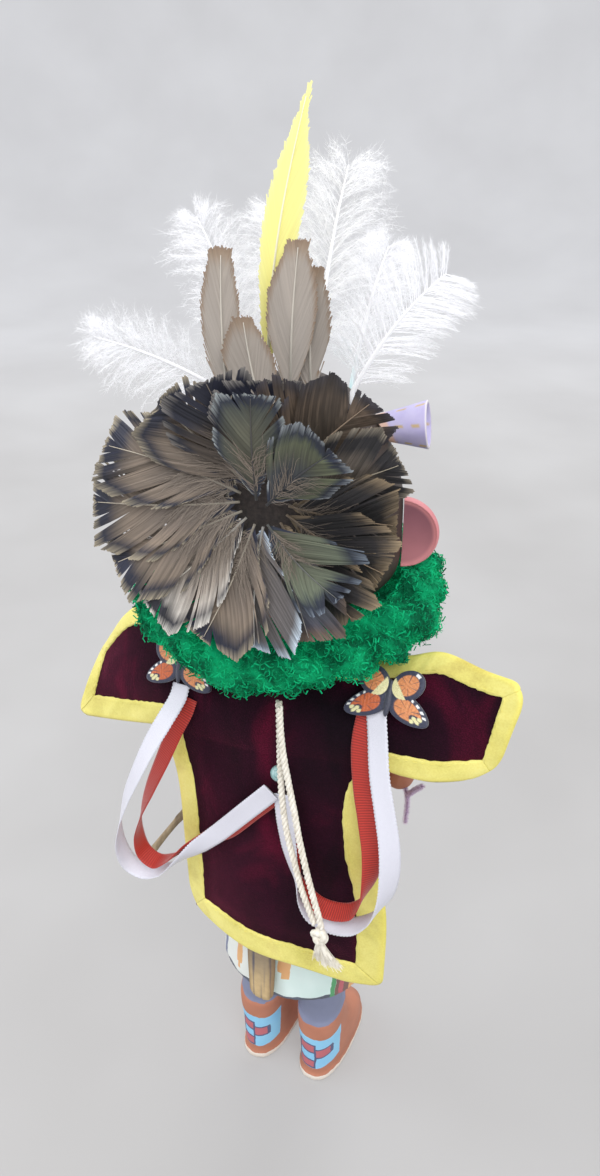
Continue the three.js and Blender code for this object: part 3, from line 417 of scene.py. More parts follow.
ribbonRoutes = {
    "white_ribbon_left": [
        (34.2, 25.6, 214.6, 0), (34.2, 28.4, 210.6, 3), (35.4, 35.4, 205, 12), (38.8, 40.4, 196.5, 20),
        (43.5, 44, 184.5, 32), (49.5, 45, 170, 46), (54.6, 44, 155, 64), (57, 42, 141.5, 88),
        (55.2, 40, 132, 105), (49.2, 39, 129.5, 112), (40.5, 38.5, 133.5, 100), (31.5, 38, 142.5, 60),
        (24.2, 36.6, 151, 20), (16.5, 35, 159.5, 0), (2.5, 34.8, 177, 0), (-6.6, 34.7, 188.3, 0),
    ],
    "red_ribbon_left": [
        (31, 26.2, 210, 0), (31.8, 28.2, 205.5, 4), (33.8, 31.2, 199.5, 10), (38, 34.5, 187, 20),
        (43.5, 37, 172.5, 36), (48.2, 38, 159.5, 58), (50.6, 38.2, 147.5, 86), (49, 38, 138.8, 104),
        (43.8, 37.9, 136.2, 108), (36.4, 37.4, 140.8, 84), (28.6, 35.2, 147.8, 42), (20, 33.4, 155, 10),
        (12.6, 33, 161.6, 0), (2.4, 32.8, 174.2, 0), (-5, 32.6, 183.2, 0),
    ],
    "white_ribbon_right": [
        (-38.3, 20.1, 230, 0), (-39.5, 23.8, 225.6, 0), (-41.6, 27.2, 218.4, 0), (-44.6, 31.6, 207, -4),
        (-48.3, 35, 196, -10), (-51.4, 37.5, 185, -20), (-52.5, 39, 174, -36), (-51.5, 39.6, 163, -60),
        (-47.5, 39.6, 153, -92), (-40.5, 39.4, 145, -112), (-32.6, 39.2, 142, -114),
        (-25, 39.2, 143.2, -108), (-20, 38.8, 149, -80), (-16.8, 38, 157.5, -40),
        (-14.4, 36.6, 167, -12), (-12.2, 35.2, 178, 0), (-10.2, 33.2, 187.4, 0),
    ],
    "red_ribbon_right": [
        (-36.2, 21.1, 226.6, 0), (-36.1, 24, 222, 0), (-36.1, 27.3, 212.7, 0), (-38.7, 30.5, 198.4, -4),
        (-41.9, 33, 188, -12), (-44.6, 35, 176.5, -30), (-44.8, 36.4, 167, -56),
        (-43, 37.4, 157.5, -90), (-39, 37.6, 150, -112), (-32.3, 37.6, 146.6, -114),
        (-25.2, 37.4, 146.8, -106), (-20, 36.6, 151.5, -74), (-16.6, 35.6, 159, -36),
        (-13.6, 34.2, 168, -10), (-10.8, 32.4, 177, 0), (-8.4, 31.3, 184, 0),
    ],
}


def satinFinish():
    finish, tree, shader = newFinish("white satin", 0.34, Sheen_Weight=0.25, Sheen_Roughness=0.3)
    place = addNode(tree, "ShaderNodeUVMap", uv_map="weave").outputs[0]
    weft = noiseOf(tree, 5.0, 2.0, place, stretch=(9.0, 0.35, 1.0))
    warp = noiseOf(tree, 5.0, 2.0, place, stretch=(0.25, 14.0, 1.0))
    both = math2(tree, "ADD", weft, warp)
    setColour(tree, shader, ramp(tree, both, [(0.6, tone(176, 176, 190)), (1.15, tone(220, 220, 230))]))
    setBump(tree, shader, both, 0.25, 0.0002)
    return finish


def grosgrainFinish():
    finish, tree, shader = newFinish("red grosgrain", 0.55, Sheen_Weight=0.3, Sheen_Roughness=0.4)
    place = addNode(tree, "ShaderNodeUVMap", uv_map="weave").outputs[0]
    thread = noiseOf(tree, 4.0, 3.0, place, stretch=(1.2, 9.0, 1.0))
    # painted shade: the colour goes darker in the grooves between the ribs
    grooveShade = readField(tree, "rib")
    colour = ramp(tree, thread, [(0.3, tone(184, 44, 34)), (0.7, tone(216, 66, 50))])
    setColour(tree, shader, mixColour(tree, math2(tree, "MULTIPLY", grooveShade, 0.85), colour, tone(120, 20, 18)))
    setBump(tree, shader, thread, 0.3, 0.0002)
    return finish


def makeRibbon(name, rows, facts, finish, white):
    controls = np.asarray(rows, float)
    at = splineThrough(controls[:, :3])
    steps = 620 if white else 760
    shares = np.linspace(0, 1, steps)
    centres = at(shares)
    run = alongPath(centres)
    roll = np.radians(np.interp(shares * (len(rows) - 1), np.arange(len(rows)), controls[:, 3]))
    tangents = unit(np.gradient(centres, axis=0))
    facing = np.tile((0.0, 1.0, 0.0), (steps, 1))
    facing = unit(facing - tangents * np.sum(facing * tangents, 1, keepdims=True))
    side = np.cross(tangents, facing)
    facing = facing * np.cos(roll)[:, None] + side * np.sin(roll)[:, None]
    side = np.cross(facing, tangents)
    across = np.linspace(-1, 1, 9)
    half = np.full(steps, facts["width"] / 2)
    rib = np.zeros(steps)
    if white:
        half = half - 0.16 + 0.3 * np.abs(np.sin(math.pi * run / facts["picotPitch"])) ** 1.5
    else:
        rib = 0.5 - 0.5 * np.cos(2 * math.pi * run / facts["ribPitch"])
        half = half - 0.1 * rib
    thick = facts["thickness"] / 2 * (1 - 0.35 * rib)
    cup = 0.22 * across**2 * np.sin(run / 23.0)[:, None]
    rim = np.where(np.abs(across) > 0.99, 0.45, 1.0)
    front = centres[:, None] + side[:, None] * (across * half[:, None])[..., None]
    front = front + facing[:, None] * cup[..., None]
    lift = facing[:, None] * (thick[:, None] * rim)[..., None]
    points = np.concatenate([front + lift, (front - lift)[:, ::-1]], 1)
    faces = gridFaces(steps, points.shape[1], around=True, ends=True)
    wide = np.concatenate([across, across[::-1]]) * facts["width"] / 2
    uv = np.stack(np.broadcast_arrays(run[:, None], wide), -1).reshape(-1, 2)
    fields = {"rib": np.repeat(rib, points.shape[1])}
    made = addPiece(name + "_woven", inFrame(points), faces, finish, fields, uv)
    outward(made)
    settle(made, "white_satin" if white else "red_grosgrain", name)
    tuple(inFrame(rows[0][:3]))
    inFrame(centres[::6]).tolist()


whiteSatin, redGrosgrain = satinFinish(), grosgrainFinish()
for ribbonName, ribbonRows in ribbonRoutes.items():
    isWhite = ribbonName.startswith("white")
    makeRibbon(ribbonName, ribbonRows, ribbonFacts, whiteSatin if isWhite else redGrosgrain, isWhite)

# Tie cord: two strands of three plies, their knot and the frayed end

cordFacts = {"diameter": 2.3, "plyPitch": 6.0, "plies": 3}

cordRoutes = {
    "tie_cord_left": [
        (-12, 38.4, 230), (-12.2, 38.4, 222), (-12.3, 38.6, 212), (-12.8, 39.2, 201),
        (-13.8, 40, 190.5), (-16, 41.4, 180), (-19.8, 43, 168.5), (-23.4, 44.2, 158),
        (-26.8, 44.8, 150), (-28.6, 45, 146),
    ],
    "tie_cord_right": [
        (-13.5, 40.7, 230), (-13.7, 40.7, 222), (-14.7, 40.9, 212), (-16.8, 41.3, 201),
        (-19.2, 42, 190.5), (-21.6, 43, 180), (-25, 44.4, 168.5), (-28, 45, 158), (-30.6, 45.6, 150),
        (-31.6, 45.8, 146),
    ],
}


def cottonFinish():
    finish, tree, shader = newFinish("cream cotton", 0.85, Sheen_Weight=0.2)
    fibre = noiseOf(tree, 900.0, 3.0, stretch=(1.0, 1.0, 0.35))
    colour = ramp(tree, fibre, [(0.25, (0.60, 0.55, 0.45)), (0.6, (0.86, 0.82, 0.73))])
    setColour(tree, shader, colour)
    setBump(tree, shader, fibre, 0.5, 0.0003)
    return finish


def plyTubes(centres, outerRadius, pitch, plies, sides=8):
    # plies wound round a path, as (points, faces) each
    tangents = unit(np.gradient(centres, axis=0))
    run = alongPath(centres)
    side = unit(np.cross(tangents, (0.1, 1.0, 0.2)))
    up = np.cross(tangents, side)
    parts = []
    for ply in range(plies):
        turn = 2 * math.pi * (run / pitch + ply / plies)
        wound = centres + outerRadius * 0.52 * (np.cos(turn)[:, None] * side + np.sin(turn)[:, None] * up)
        rings = sweep(wound, outerRadius * 0.52, sides)
        parts.append((rings, gridFaces(len(rings), sides, True, True)))
    return parts


def makeCords(routes, facts, finish):
    made = {}
    for name, rows in routes.items():
        even, length = evenSpline(rows)
        centres = even(np.linspace(0, 1, 190))
        parts = plyTubes(centres, facts["diameter"] / 2, facts["plyPitch"], facts["plies"])
        points, faces = joinParts(parts)
        piece = addPiece(name + "_twisted", inFrame(points), faces, finish)
        outward(piece)
        settle(piece, "cotton_cord", name)
        made[name] = (piece, rows, centres, round(float(length) * mm, 3))
    return made


knotPlace = np.array((-31.0, 46.0, 142.2))
knotFacts = {"loopRadius": 1.75, "cordRadius": 1.15, "tasselPlies": 6, "tasselLength": 13.0}


def makeKnot(facts, finish, rng):
    turn = np.linspace(0, 2 * math.pi, 90)
    radius = facts["loopRadius"] * (1 + 0.35 * np.cos(3 * turn))
    loop = np.stack(
        [radius * np.cos(2 * turn), 0.75 * np.sin(3 * turn), 1.15 * radius * np.sin(2 * turn)], -1
    )
    parts = [(sweep(loop[:-1], facts["cordRadius"], 8), gridFaces(89, 8, True, True))]
    lines, widths = [], []
    for ply in range(facts["tasselPlies"]):
        spread = (ply - 2.5) / 2.5
        end = np.array(
            (-3.4 + 4.6 * spread, 0.6 * math.cos(ply * 2.1), -facts["tasselLength"] + 1.5 * abs(spread))
        )
        bow = np.array((1.2 * spread, 0.8 * math.sin(ply * 1.7), -0.45 * facts["tasselLength"]))
        t = np.linspace(0, 1, 14)[:, None]
        middle = 2 * t * (1 - t) * bow + t**2 * end
        parts.append((sweep(middle[:-3], np.linspace(0.75, 0.62, 11), 7), gridFaces(11, 7, True, True)))
        for _ in range(46):
            off = rng.normal(0, 1, 3) * (0.3, 0.3, 0.15)
            fan = rng.normal(0, 1, 3) * (0.75, 0.6, 0.55) * t**1.5
            lines.append(middle + off + fan)
            widths.append(np.full(14, 0.16))
    lines, widths = np.array(lines), np.array(widths)
    facing = np.broadcast_to((-0.4, 0.8, 0.2), lines.shape)
    parts.append(ribbonsOf(lines, widths, facing))
    points, faces = joinParts(parts)
    made = addPiece("cord_knot_frayed", inFrame(points + knotPlace), faces, finish)
    settle(made, "cotton_cord", "cord_knot")
    return made


creamCotton = cottonFinish()
rngKnot = np.random.default_rng(11)
knotPiece = makeKnot(knotFacts, creamCotton, rngKnot)
madeCords = makeCords(cordRoutes, cordFacts, creamCotton)
for cordName, (cordPiece, cordRows, cordCentres, cordLength) in madeCords.items():
    tuple(inFrame(cordRows[0]))
    inFrame(cordCentres[::4]).tolist()
    print(cordName, cordLength, "m")


def makeBead():
    finish, tree, shader = newFinish("glazed bead", 0.22, Coat_Weight=0.5)
    swirl = noiseOf(tree, 420.0, 4.0, distortion=1.6)
    stops = [(0.32, (0.10, 0.16, 0.17)), (0.45, (0.22, 0.42, 0.42)), (0.62, (0.40, 0.58, 0.58))]
    setColour(tree, shader, ramp(tree, swirl, stops))
    rows, sides, radius = 20, 30, 3.0
    angle = np.linspace(0.12, math.pi - 0.12, rows)
    turn = np.linspace(0, 2 * math.pi, sides, endpoint=False)
    outer = [(radius * math.sin(a), radius * 0.96 * math.cos(a)) for a in angle]
    profile = outer + [(0.34, -2.2), (0.34, 2.2)]
    points = [[(r * math.cos(t), r * math.sin(t), z) for t in turn] for r, z in profile]
    faces = gridFaces(len(profile), sides, True)
    last = (len(profile) - 1) * sides
    faces += [(last + k, last + (k + 1) % sides, (k + 1) % sides, k) for k in range(sides)]
    tilt = np.array(Matrix.Rotation(0.5, 3, "X"))
    made = addPiece("bead_glazed", inFrame(np.array(points) @ tilt.T + beadPlace), faces, finish)
    outward(made)
    settle(made, "glazed_bead", "bead")


makeBead()
print("ribbons and cords made")

# Cape: a T-shaped velvet sheet in across 0..3 and down 0..2, bound all round

capeFacts = {
    "length": 134.0, "velvet": 1.4, "bindingThick": 1.9, "fullness": 5.0, "fold": 0.6, "velvetInset": 3.4
}
backY = 26.5
capeEdges = {
    "top": [
        [(86, 5, 204), (67, 5.5, 228), (44.5, 8, 234.5)],
        [(44.5, 8, 234.5), (30, 10, 235), (0, 13.5, 232), (-30, 10, 235.5), (-45, 8, 239.5)],
        [(-45, 8, 239.5), (-55, 8, 243.5), (-70, 8.5, 241), (-84, 12, 242)],
    ],
    "under": [
        [(95, 15, 175), (70, 20, 183.5), (44.5, 25, 193)],
        [
            (44.5, 25, 193), (22, backY - 0.2, 195), (0, backY + 0.8, 198), (-22, backY - 0.2, 202),
            (-45, 25, 204)
        ],
        [(-45, 25, 204), (-60, 21, 203), (-77, 12.5, 205)],
    ],
    "hem": [(36.6, backY, 104), (14, 33, 104.5), (-11, 34.5, 105), (-32, 31, 104.5), (-48.5, backY, 104)],
    "left": [(44.5, 25, 193), (38.8, 26, 174), (37.2, backY, 140), (36.6, backY, 104)],
    "right": [(-45, 25, 204), (-40.6, 26, 188), (-41.2, 26.5, 170), (-47.6, backY, 144), (-48.5, backY, 104)],
}
capeTop = [evenSpline(c) for c in capeEdges["top"]]
capeUnder = [evenSpline(c) for c in capeEdges["under"]]
capeHem, capeLeft, capeRight = (evenSpline(capeEdges[k]) for k in ("hem", "left", "right"))


def capePoint(across, down):
    across, down = (np.asarray(a, float).ravel() for a in np.broadcast_arrays(across, down))
    out = np.zeros((len(across), 3))
    part = np.clip(np.floor(across), 0, 2).astype(int)
    for k in range(3):
        pick = (part == k) & (down <= 1)
        if pick.any():
            s, t = across[pick] - k, down[pick][:, None]
            inner = np.clip(s if k == 0 else 1 - s, 0, 1)
            body = np.ones_like(s) if k == 1 else smoothstep(0.1, 1, inner)
            full = capeFacts["fullness"] * (0.35 + 0.65 * body)[:, None] * 4 * t * (1 - t)
            out[pick] = capeTop[k][0](s) * (1 - t) + capeUnder[k][0](s) * t + full * (0, 1, 0.2)
    pick = down > 1
    if pick.any():
        s, d = np.clip(across[pick] - 1, 0, 1)[:, None], (down[pick] - 1)[:, None]
        under, hem = capeUnder[1][0](s[:, 0]), capeHem[0](s[:, 0])
        ends = [capeUnder[1][0]((0,)), capeUnder[1][0]((1,)), capeHem[0]((0,)), capeHem[0]((1,))]
        point = capeLeft[0](d[:, 0]) * (1 - s) + capeRight[0](d[:, 0]) * s
        point += (under - ends[0] * (1 - s) - ends[1] * s) * (1 - d)
        point += (hem - ends[2] * (1 - s) - ends[3] * s) * d
        fold = capeFacts["fold"] * np.sin(point[:, 0] / 6.5 + 1.1) * (1 - smoothstep(118, 208, point[:, 2]))
        point[:, 1] += fold * np.minimum(1, 8 * s[:, 0] * (1 - s[:, 0]))
        out[pick] = point
    return out


def capeNormal(across, down):
    step = 0.01
    low, high = np.maximum(across - step, 0), np.minimum(across + step, 3)
    sideways = capePoint(high, down) - capePoint(low, down)
    up, under = np.maximum(down - step, 0), np.minimum(down + step, 2)
    downward = capePoint(across, under) - capePoint(across, up)
    normal = unit(np.cross(sideways, downward))
    return normal * np.where(normal[:, 1:2] < 0, -1, 1)


def cuffShare(part, width):
    return width / (0.5 * (capeTop[part][1] + capeUnder[part][1]))


def rowShare(across, width):
    a = np.clip(np.atleast_1d(across), 0.001, 2.999)
    return width / np.linalg.norm(capePoint(a, 0 * a) - capePoint(a, 0 * a + 1), axis=1)


def velvetFinish():
    finish, tree, shader = newFinish("burgundy velvet", 0.95, Sheen_Weight=1.0, Sheen_Roughness=0.35)
    shader.inputs["Sheen Tint"].default_value = (0.42, 0.04, 0.12, 1)
    shader.inputs["Specular IOR Level"].default_value = 0.15
    # the nap's own crushed tone, with painted burgundy sheen streaks in its brighter end
    napAndSheenStreaks = noiseOf(tree, 42.0, 3.0, stretch=(1.0, 1.0, 0.45), distortion=0.8)
    pile = noiseOf(tree, 2600.0, 1.0)
    base = ramp(tree, napAndSheenStreaks, [(0.36, tone(16, 5, 16)), (0.54, tone(36, 6, 24)), (0.7, tone(78, 10, 36))])
    setColour(tree, shader, grainOver(tree, 0.35, base, pile, 0.4, 0.7))
    setBump(tree, shader, pile, 0.6, 0.0004)
    return finish


def makeVelvet(facts, finish):
    inset = facts["velvetInset"]
    cuff, side, hem = (cuffShare(0, inset), cuffShare(2, inset)), inset / capeHem[1], inset / capeLeft[1]
    columns = np.concatenate([
        np.linspace(cuff[0], 1 + side, 34)[:-1],
        np.linspace(1 + side, 2 - side, 66)[:-1],
        np.linspace(2 - side, 3 - cuff[1], 34),
    ])
    upper = np.linspace(0, 1, 28)
    lower = np.linspace(0, 1, 62)[1:]
    inset = rowShare(columns, inset)
    rows = [inset + (1 - 2 * inset) * u for u in upper]
    rows += [(1 - inset) * (1 - v) + (2 - hem) * v for v in lower]
    first, last = 33, 33 + 65
    places, normals = [], []
    for r in rows:
        places.append(capePoint(columns, r))
        normals.append(capeNormal(columns, r))
    places, normals = np.array(places), np.array(normals)
    rng = np.random.default_rng(4)
    dimple = sum(np.sin(places @ rng.normal(0, 0.12, 3) + k) for k in range(5)) * 0.12
    # flat and thin where the binding covers it
    across, down = np.broadcast_to(columns, places.shape[:2]), np.array(rows)
    perMm = rowShare(columns, 1.0)[None]
    aside = np.minimum(across / cuffShare(0, 1.0), (3 - across) / cuffShare(2, 1.0))
    inBody = np.minimum(across - 1, 2 - across) * capeHem[1]
    underside = np.where(inBody > 0, 1000, np.maximum(1 - down, 0) / perMm)
    below = np.minimum(np.where(down > 1, inBody, 1000), (2 - down) * capeLeft[1])
    near = np.minimum.reduce([aside, down / perMm, underside, below])
    bare = smoothstep(11, 18, near)
    mid = places + normals * (dimple * bare)[..., None]
    half = facts["velvet"] / 2 * (0.45 + 0.55 * bare)
    count = len(columns)
    used, points, faces = {}, [], []

    def vertex(r, c, front):
        key = (r, c, front)
        if key not in used:
            used[key] = len(points)
            points.append(mid[r, c] + normals[r, c] * (half[r, c] * (1 if front else -1)))
        return used[key]

    def kept(r, c):
        inside = 0 <= r < len(rows) - 1 and 0 <= c < count - 1
        return inside and (r < len(upper) - 1 or first <= c < last)

    for r in range(len(rows) - 1):
        for c in range(count - 1):
            if not kept(r, c):
                continue
            corners = [(r, c), (r, c + 1), (r + 1, c + 1), (r + 1, c)]
            faces.append([vertex(*k, True) for k in corners])
            faces.append([vertex(*k, False) for k in reversed(corners)])
            for k, (nr, nc) in enumerate(((r - 1, c), (r, c + 1), (r + 1, c), (r, c - 1))):
                if not kept(nr, nc):
                    a, b = corners[k], corners[(k + 1) % 4]
                    faces.append([vertex(*b, True), vertex(*a, True), vertex(*a, False), vertex(*b, False)])
    made = addPiece("cape_velvet", inFrame(points), faces, finish)
    outward(made)
    return made


def bindingFinish():
    finish, tree, shader = newFinish("pale yellow cotton", 0.8, Sheen_Weight=0.15)
    cloud = noiseOf(tree, 60.0, 4.0)
    blot = noiseOf(tree, 28.0, 4.0, distortion=0.6)
    weave = noiseOf(tree, 1500.0, 2.0)
    edge = readField(tree, "edge")
    base = ramp(tree, cloud, [(0.3, tone(214, 204, 104)), (0.65, tone(238, 228, 132))])
    base = mixColour(tree, math2(tree, "MULTIPLY", edge, 0.55), base, tone(240, 226, 96))
    stain = ramp(tree, blot, [(0.60, (0, 0, 0)), (0.70, (1, 1, 1))])
    stained = mixColour(tree, math2(tree, "MULTIPLY", stain, 0.5), base, (0.47, 0.35, 0.07))
    setColour(tree, shader, grainOver(tree, 0.12, stained, weave, 0.3, 0.7))
    setBump(tree, shader, weave, 0.35, 0.0003)
    return finish


# Width of the binding along the edge that starts at each corner, and how much that corner is rounded
bindingWidths = {
    "topLeft": 7.5, "topRight": 6.6, "cuffRight": 8.4, "armpitRight": 10.6, "hemRight": 10.8, "hemLeft": 9.0,
    "armpitLeft": 9.8, "cuffLeft": 9.6,
}
cornerRounding = {
    "hemLeft": (0.42, 17.0), "topRight": (0.4, 11.0), "cuffRight": (0.42, 12.0), "cuffLeft": (0.2, 8.0)
}
topEnds = (7.5, 6.0)


def bindingCorners(widths):
    left, right = cuffShare(0, widths["cuffLeft"]), 3 - cuffShare(2, widths["topRight"])
    sideLeft, sideRight = 1 + widths["hemLeft"] / capeHem[1], 2 - widths["armpitRight"] / capeHem[1]

    def deep(across, width):
        return float(rowShare(across, width)[0])

    return {
        "topLeft": (left, deep(left, topEnds[0])),
        "topRight": (right, deep(right, topEnds[1])),
        "cuffRight": (right, 1 - deep(right, widths["cuffRight"])),
        "armpitRight": (sideRight, 1 - deep(sideRight, widths["cuffRight"])),
        "hemRight": (sideRight, 2 - widths["hemRight"] / capeRight[1]),
        "hemLeft": (sideLeft, 2 - widths["hemRight"] / capeLeft[1]),
        "armpitLeft": (sideLeft, 1 - deep(sideLeft, widths["armpitLeft"])),
        "cuffLeft": (left, 1 - deep(left, widths["armpitLeft"])),
    }


def makeBinding(facts, finish):
    inner = bindingCorners(bindingWidths)
    outer = {
        "topLeft": (0, 0), "topRight": (3, 0), "cuffRight": (3, 1), "armpitRight": (2, 1),
        "hemRight": (2, 2), "hemLeft": (1, 2), "armpitLeft": (1, 1), "cuffLeft": (0, 1),
    }
    names = list(outer)
    rng = np.random.default_rng(21)
    parts, edge, seams = [], [], []
    for k, here in enumerate(names):
        there = names[(k + 1) % len(names)]
        a0, a1, b0, b1 = (np.array(x, float) for x in (outer[here], outer[there], inner[here], inner[there]))
        span = np.linalg.norm(capePoint(*a0) - capePoint(*a1)) if here != "topLeft" else 178
        stations = max(24, int(span / 0.9))
        e = np.linspace(0, 1, stations)
        run = e * span
        rounding = np.zeros(stations)
        for corner, far in ((here, run), (there, span - run)):
            amount, radius = cornerRounding.get(corner, (0.12, 5.0))
            rounding = np.maximum(rounding, amount * np.clip(1 - far / radius, 0, 1) ** 2)
        widths = np.linspace(0, 1, 11)
        teeth = rng.uniform(-1, 1, stations // 2 + 2)
        ragged = 0.03 * np.interp(np.arange(stations), np.arange(len(teeth)) * 2, teeth)
        seedWave = rng.uniform(0, 6, 4)

        def shares(w):
            reach = w * (1 + (ragged if w > 0.95 else 0 * ragged))
            reach = reach + (1 - np.minimum(reach, 1)) * rounding
            outerLine = a0 * (1 - e[:, None]) + a1 * e[:, None]
            innerLine = b0 * (1 - e[:, None]) + b1 * e[:, None]
            share = outerLine * (1 - reach[:, None]) + innerLine * reach[:, None]
            if here == "topLeft":
                share[:, 1] = rowShare(share[:, 0], np.interp(share[:, 0], (0, 3), topEnds)) * reach
            if here in ("cuffRight", "armpitLeft"):
                share[:, 1] = 1 - rowShare(share[:, 0], bindingWidths[here]) * reach
            return share

        rings, marks = [], []
        for j, w in enumerate(np.concatenate([widths[::-1], widths])):
            share = shares(w)
            mid, normal = capePoint(share[:, 0], share[:, 1]), capeNormal(share[:, 0], share[:, 1])
            front = 1 if j < len(widths) else -1
            pucker = 0.10 * np.sin(run / 1.9 + 2.2 * np.sin(run / 7 + seedWave[0]) + seedWave[1])
            pucker = pucker + 0.13 * np.sin(run / 5.3 + seedWave[2]) * math.sin(math.pi * w)
            lift = facts["bindingThick"] / 2 * (0.35 + 0.65 * math.sqrt(min(1, w / 0.12)))
            lift = lift + 0.12 * math.sin(math.pi * min(1, w * 1.2))
            rings.append(mid + normal * (front * (lift + pucker * min(1, 4 * w)))[:, None])
            marks.append(np.full(stations, max(0, 1 - w * 3.2)))
        grid = np.stack(rings, 1)
        parts.append((grid, gridFaces(stations, grid.shape[1], True, True)))
        edge.append(np.stack(marks, 1).ravel())
        share = shares(0.86)[3:-3]
        seam = capePoint(share[:, 0], share[:, 1])
        seams.append(seam + capeNormal(share[:, 0], share[:, 1]) * (facts["bindingThick"] / 2 + 0.12))
    points, faces = joinParts(parts)
    made = addPiece("cape_binding_sewn", inFrame(points), faces, finish, {"edge": np.concatenate(edge)})
    outward(made)
    settle(made, "binding_cotton", "cape_binding")
    return made, seams


def stitchTree(finish):
    tree, given, out = newTree("running stitch", [("Pitch", "Float", 0.0026), ("Long", "Float", 0.0009),
                                                  ("Thick", "Float", 0.0002)])
    seam = addNode(tree, "GeometryNodeMeshToCurve", {"Mesh": given["Geometry"]})
    places = addNode(tree, "GeometryNodeResampleCurve", {"Curve": seam.outputs[0], "Length": given["Pitch"]},
                     mode="LENGTH")
    bead = addNode(tree, "GeometryNodeMeshIcoSphere", {"Radius": 1.0, "Subdivisions": 1})
    size = addNode(
        tree, "ShaderNodeCombineXYZ", {"X": given["Thick"], "Y": given["Thick"], "Z": given["Long"]}
    )
    thread = addNode(tree, "GeometryNodeTransform", {"Geometry": bead.outputs[0], "Scale": size.outputs[0]})
    along = addNode(tree, "GeometryNodeInputTangent")
    turn = addNode(tree, "FunctionNodeAlignRotationToVector", {"Vector": along.outputs[0]}, axis="Z")
    placed = addNode(tree, "GeometryNodeInstanceOnPoints", {"Points": places.outputs[0],
                     "Instance": thread.outputs[0], "Rotation": turn.outputs[0]})
    return endTree(tree, out, placed.outputs[0], finish)


def pathHost(name, lines):
    # edges only, for a node tree to follow
    mesh = bpy.data.meshes.new(name)
    points = np.vstack(lines)
    edges, start = [], 0
    for line in lines:
        edges += [(start + i, start + i + 1) for i in range(len(line) - 1)]
        start += len(line)
    mesh.from_pydata(inFrame(points).tolist(), edges, [])
    host = bpy.data.objects.new(name, mesh)
    bpy.context.scene.collection.objects.link(host)
    return host


def makeStitches(seams, finish):
    host = pathHost("seam_path", seams)
    values = {"Pitch": 2.7 * mm, "Long": 0.85 * mm, "Thick": 0.17 * mm}
    made = runTree(host, stitchTree(finish), values, "cape_stitches", finish)
    dropHelpers(host)
    settle(made, "binding_cotton", "cape_binding")
    return made


velvetPiece = makeVelvet(capeFacts, velvetFinish())
yellowCotton = bindingFinish()
bindingPiece, bindingSeams = makeBinding(capeFacts, yellowCotton)
stitchPiece = makeStitches(bindingSeams, yellowCotton)
settle(velvetPiece, "velvet", "cape")
print("cape made")

# Carved figure: lofts joined by a fine remesh, then carved and painted

figureFacts = {
    "bootLength": 49.0, "bootWidth": 21.5, "stance": 14.3, "stride": 1.8,
    "footShift": 4.0, "hemShift": 2.5, "topSlope": 0.4,
    "leggingRadius": 9.6, "kiltWidth": 32.0, "kiltDepth": 26.5, "waistWidth": 25.0, "waistDepth": 18.0,
    "chestWidth": 29.0, "chestDepth": 18.0, "neck": 14.0, "upperArm": 7.6, "wrist": 4.8, "voxel": 1.06,
}
headProfile = [
    (0, 0.46), (0.035, 0.8), (0.11, 0.97), (0.3, 1), (0.48, 0.98), (0.62, 0.91), (0.76, 0.77), (0.88, 0.56),
    (0.96, 0.32), (1, 0.12),
]
arms = {
    "left": ([(20, -2, 220), (34, -3, 220), (54, -3.5, 213), (73, -4, 202), (64, -9, 181), (46, -13, 154.5)],
             (42, -13.3, 150)),
    "right": (
        [
            (-20, -2, 220), (-34, -3, 221), (-52, -3, 222), (-67, -4, 219), (-55, -10, 199),
            (-40, -11, 179.5)
        ],
              (-36.5, -11, 174.5)),
}
stickWay = unit(np.array((33.5, 23.5, -56.0)))
maskFacts = {"eyeAside": 12.8, "eyeZ": 296.6, "snoutZ": 278.1}


def loftOf(stations, sides, powers=2.0):
    # stations: centre x, y, z, half width, half depth
    turn = np.linspace(0, 2 * math.pi, sides, endpoint=False)
    c, s = np.cos(turn), np.sin(turn)
    powers = np.broadcast_to(powers, (len(stations),))
    rings = []
    for (x, y, z, wide, deep), power in zip(stations, powers):
        px = wide * np.sign(c) * np.abs(c) ** (2 / power)
        py = deep * np.sign(s) * np.abs(s) ** (2 / power)
        rings.append(np.stack([x + px, y + py, np.full(sides, z)], -1))
    return np.array(rings), gridFaces(len(stations), sides, True, True)


def smoothStations(stations, count):
    # even, rounded steps between given stations
    at = splineThrough(np.asarray(stations, float))
    return at(np.linspace(0, 1, count))


def blob(centre, radii, axis=(0, 0, 1), rows=10, sides=14):
    angle = np.linspace(0.08, math.pi - 0.08, rows)
    turn = np.linspace(0, 2 * math.pi, sides, endpoint=False)
    points = np.stack([
        np.outer(np.sin(angle), np.cos(turn)) * radii[0],
        np.outer(np.sin(angle), np.sin(turn)) * radii[1],
        np.outer(np.cos(angle), np.ones(sides)) * radii[2],
    ], -1)
    spin = np.array(Vector((0, 0, 1)).rotation_difference(Vector(axis)).to_matrix())
    return points @ spin.T + np.asarray(centre, float), gridFaces(rows, sides, True, True)


def bootLoft(side, facts):
    heelY = 12.7 - (facts["stride"] if side < 0 else 0)
    x = side * facts["stance"] + facts["footShift"]
    half, long = facts["bootWidth"] / 2, facts["bootLength"] / 2
    sole = [
        (x, heelY - long * a, z, half * b, long * a)
        for z, a, b in ((0, 0.985, 0.98), (0.5, 1, 1), (3, 1, 1))
    ]
    upper = [
        (3.0, 0.965, 0.93), (10, 0.94, 0.94), (17, 0.82, 0.93), (24, 0.6, 0.91), (31, 0.49, 0.92),
        (41, 0.47, 0.96)
    ]
    stations = [(x, heelY - 0.9 - long * a, z, half * b, long * a) for z, a, b in upper]
    rings, faces = loftOf(smoothStations(stations, 26), 48, 2.4)
    # the boot's top rises towards the shin
    rings[..., 2] += smoothstep(24, 41, rings[..., 2]) * (facts["topSlope"] * (8.7 - rings[..., 1]) - 3.2)
    return [loftOf(sole, 48, 2.5), (rings, faces)]


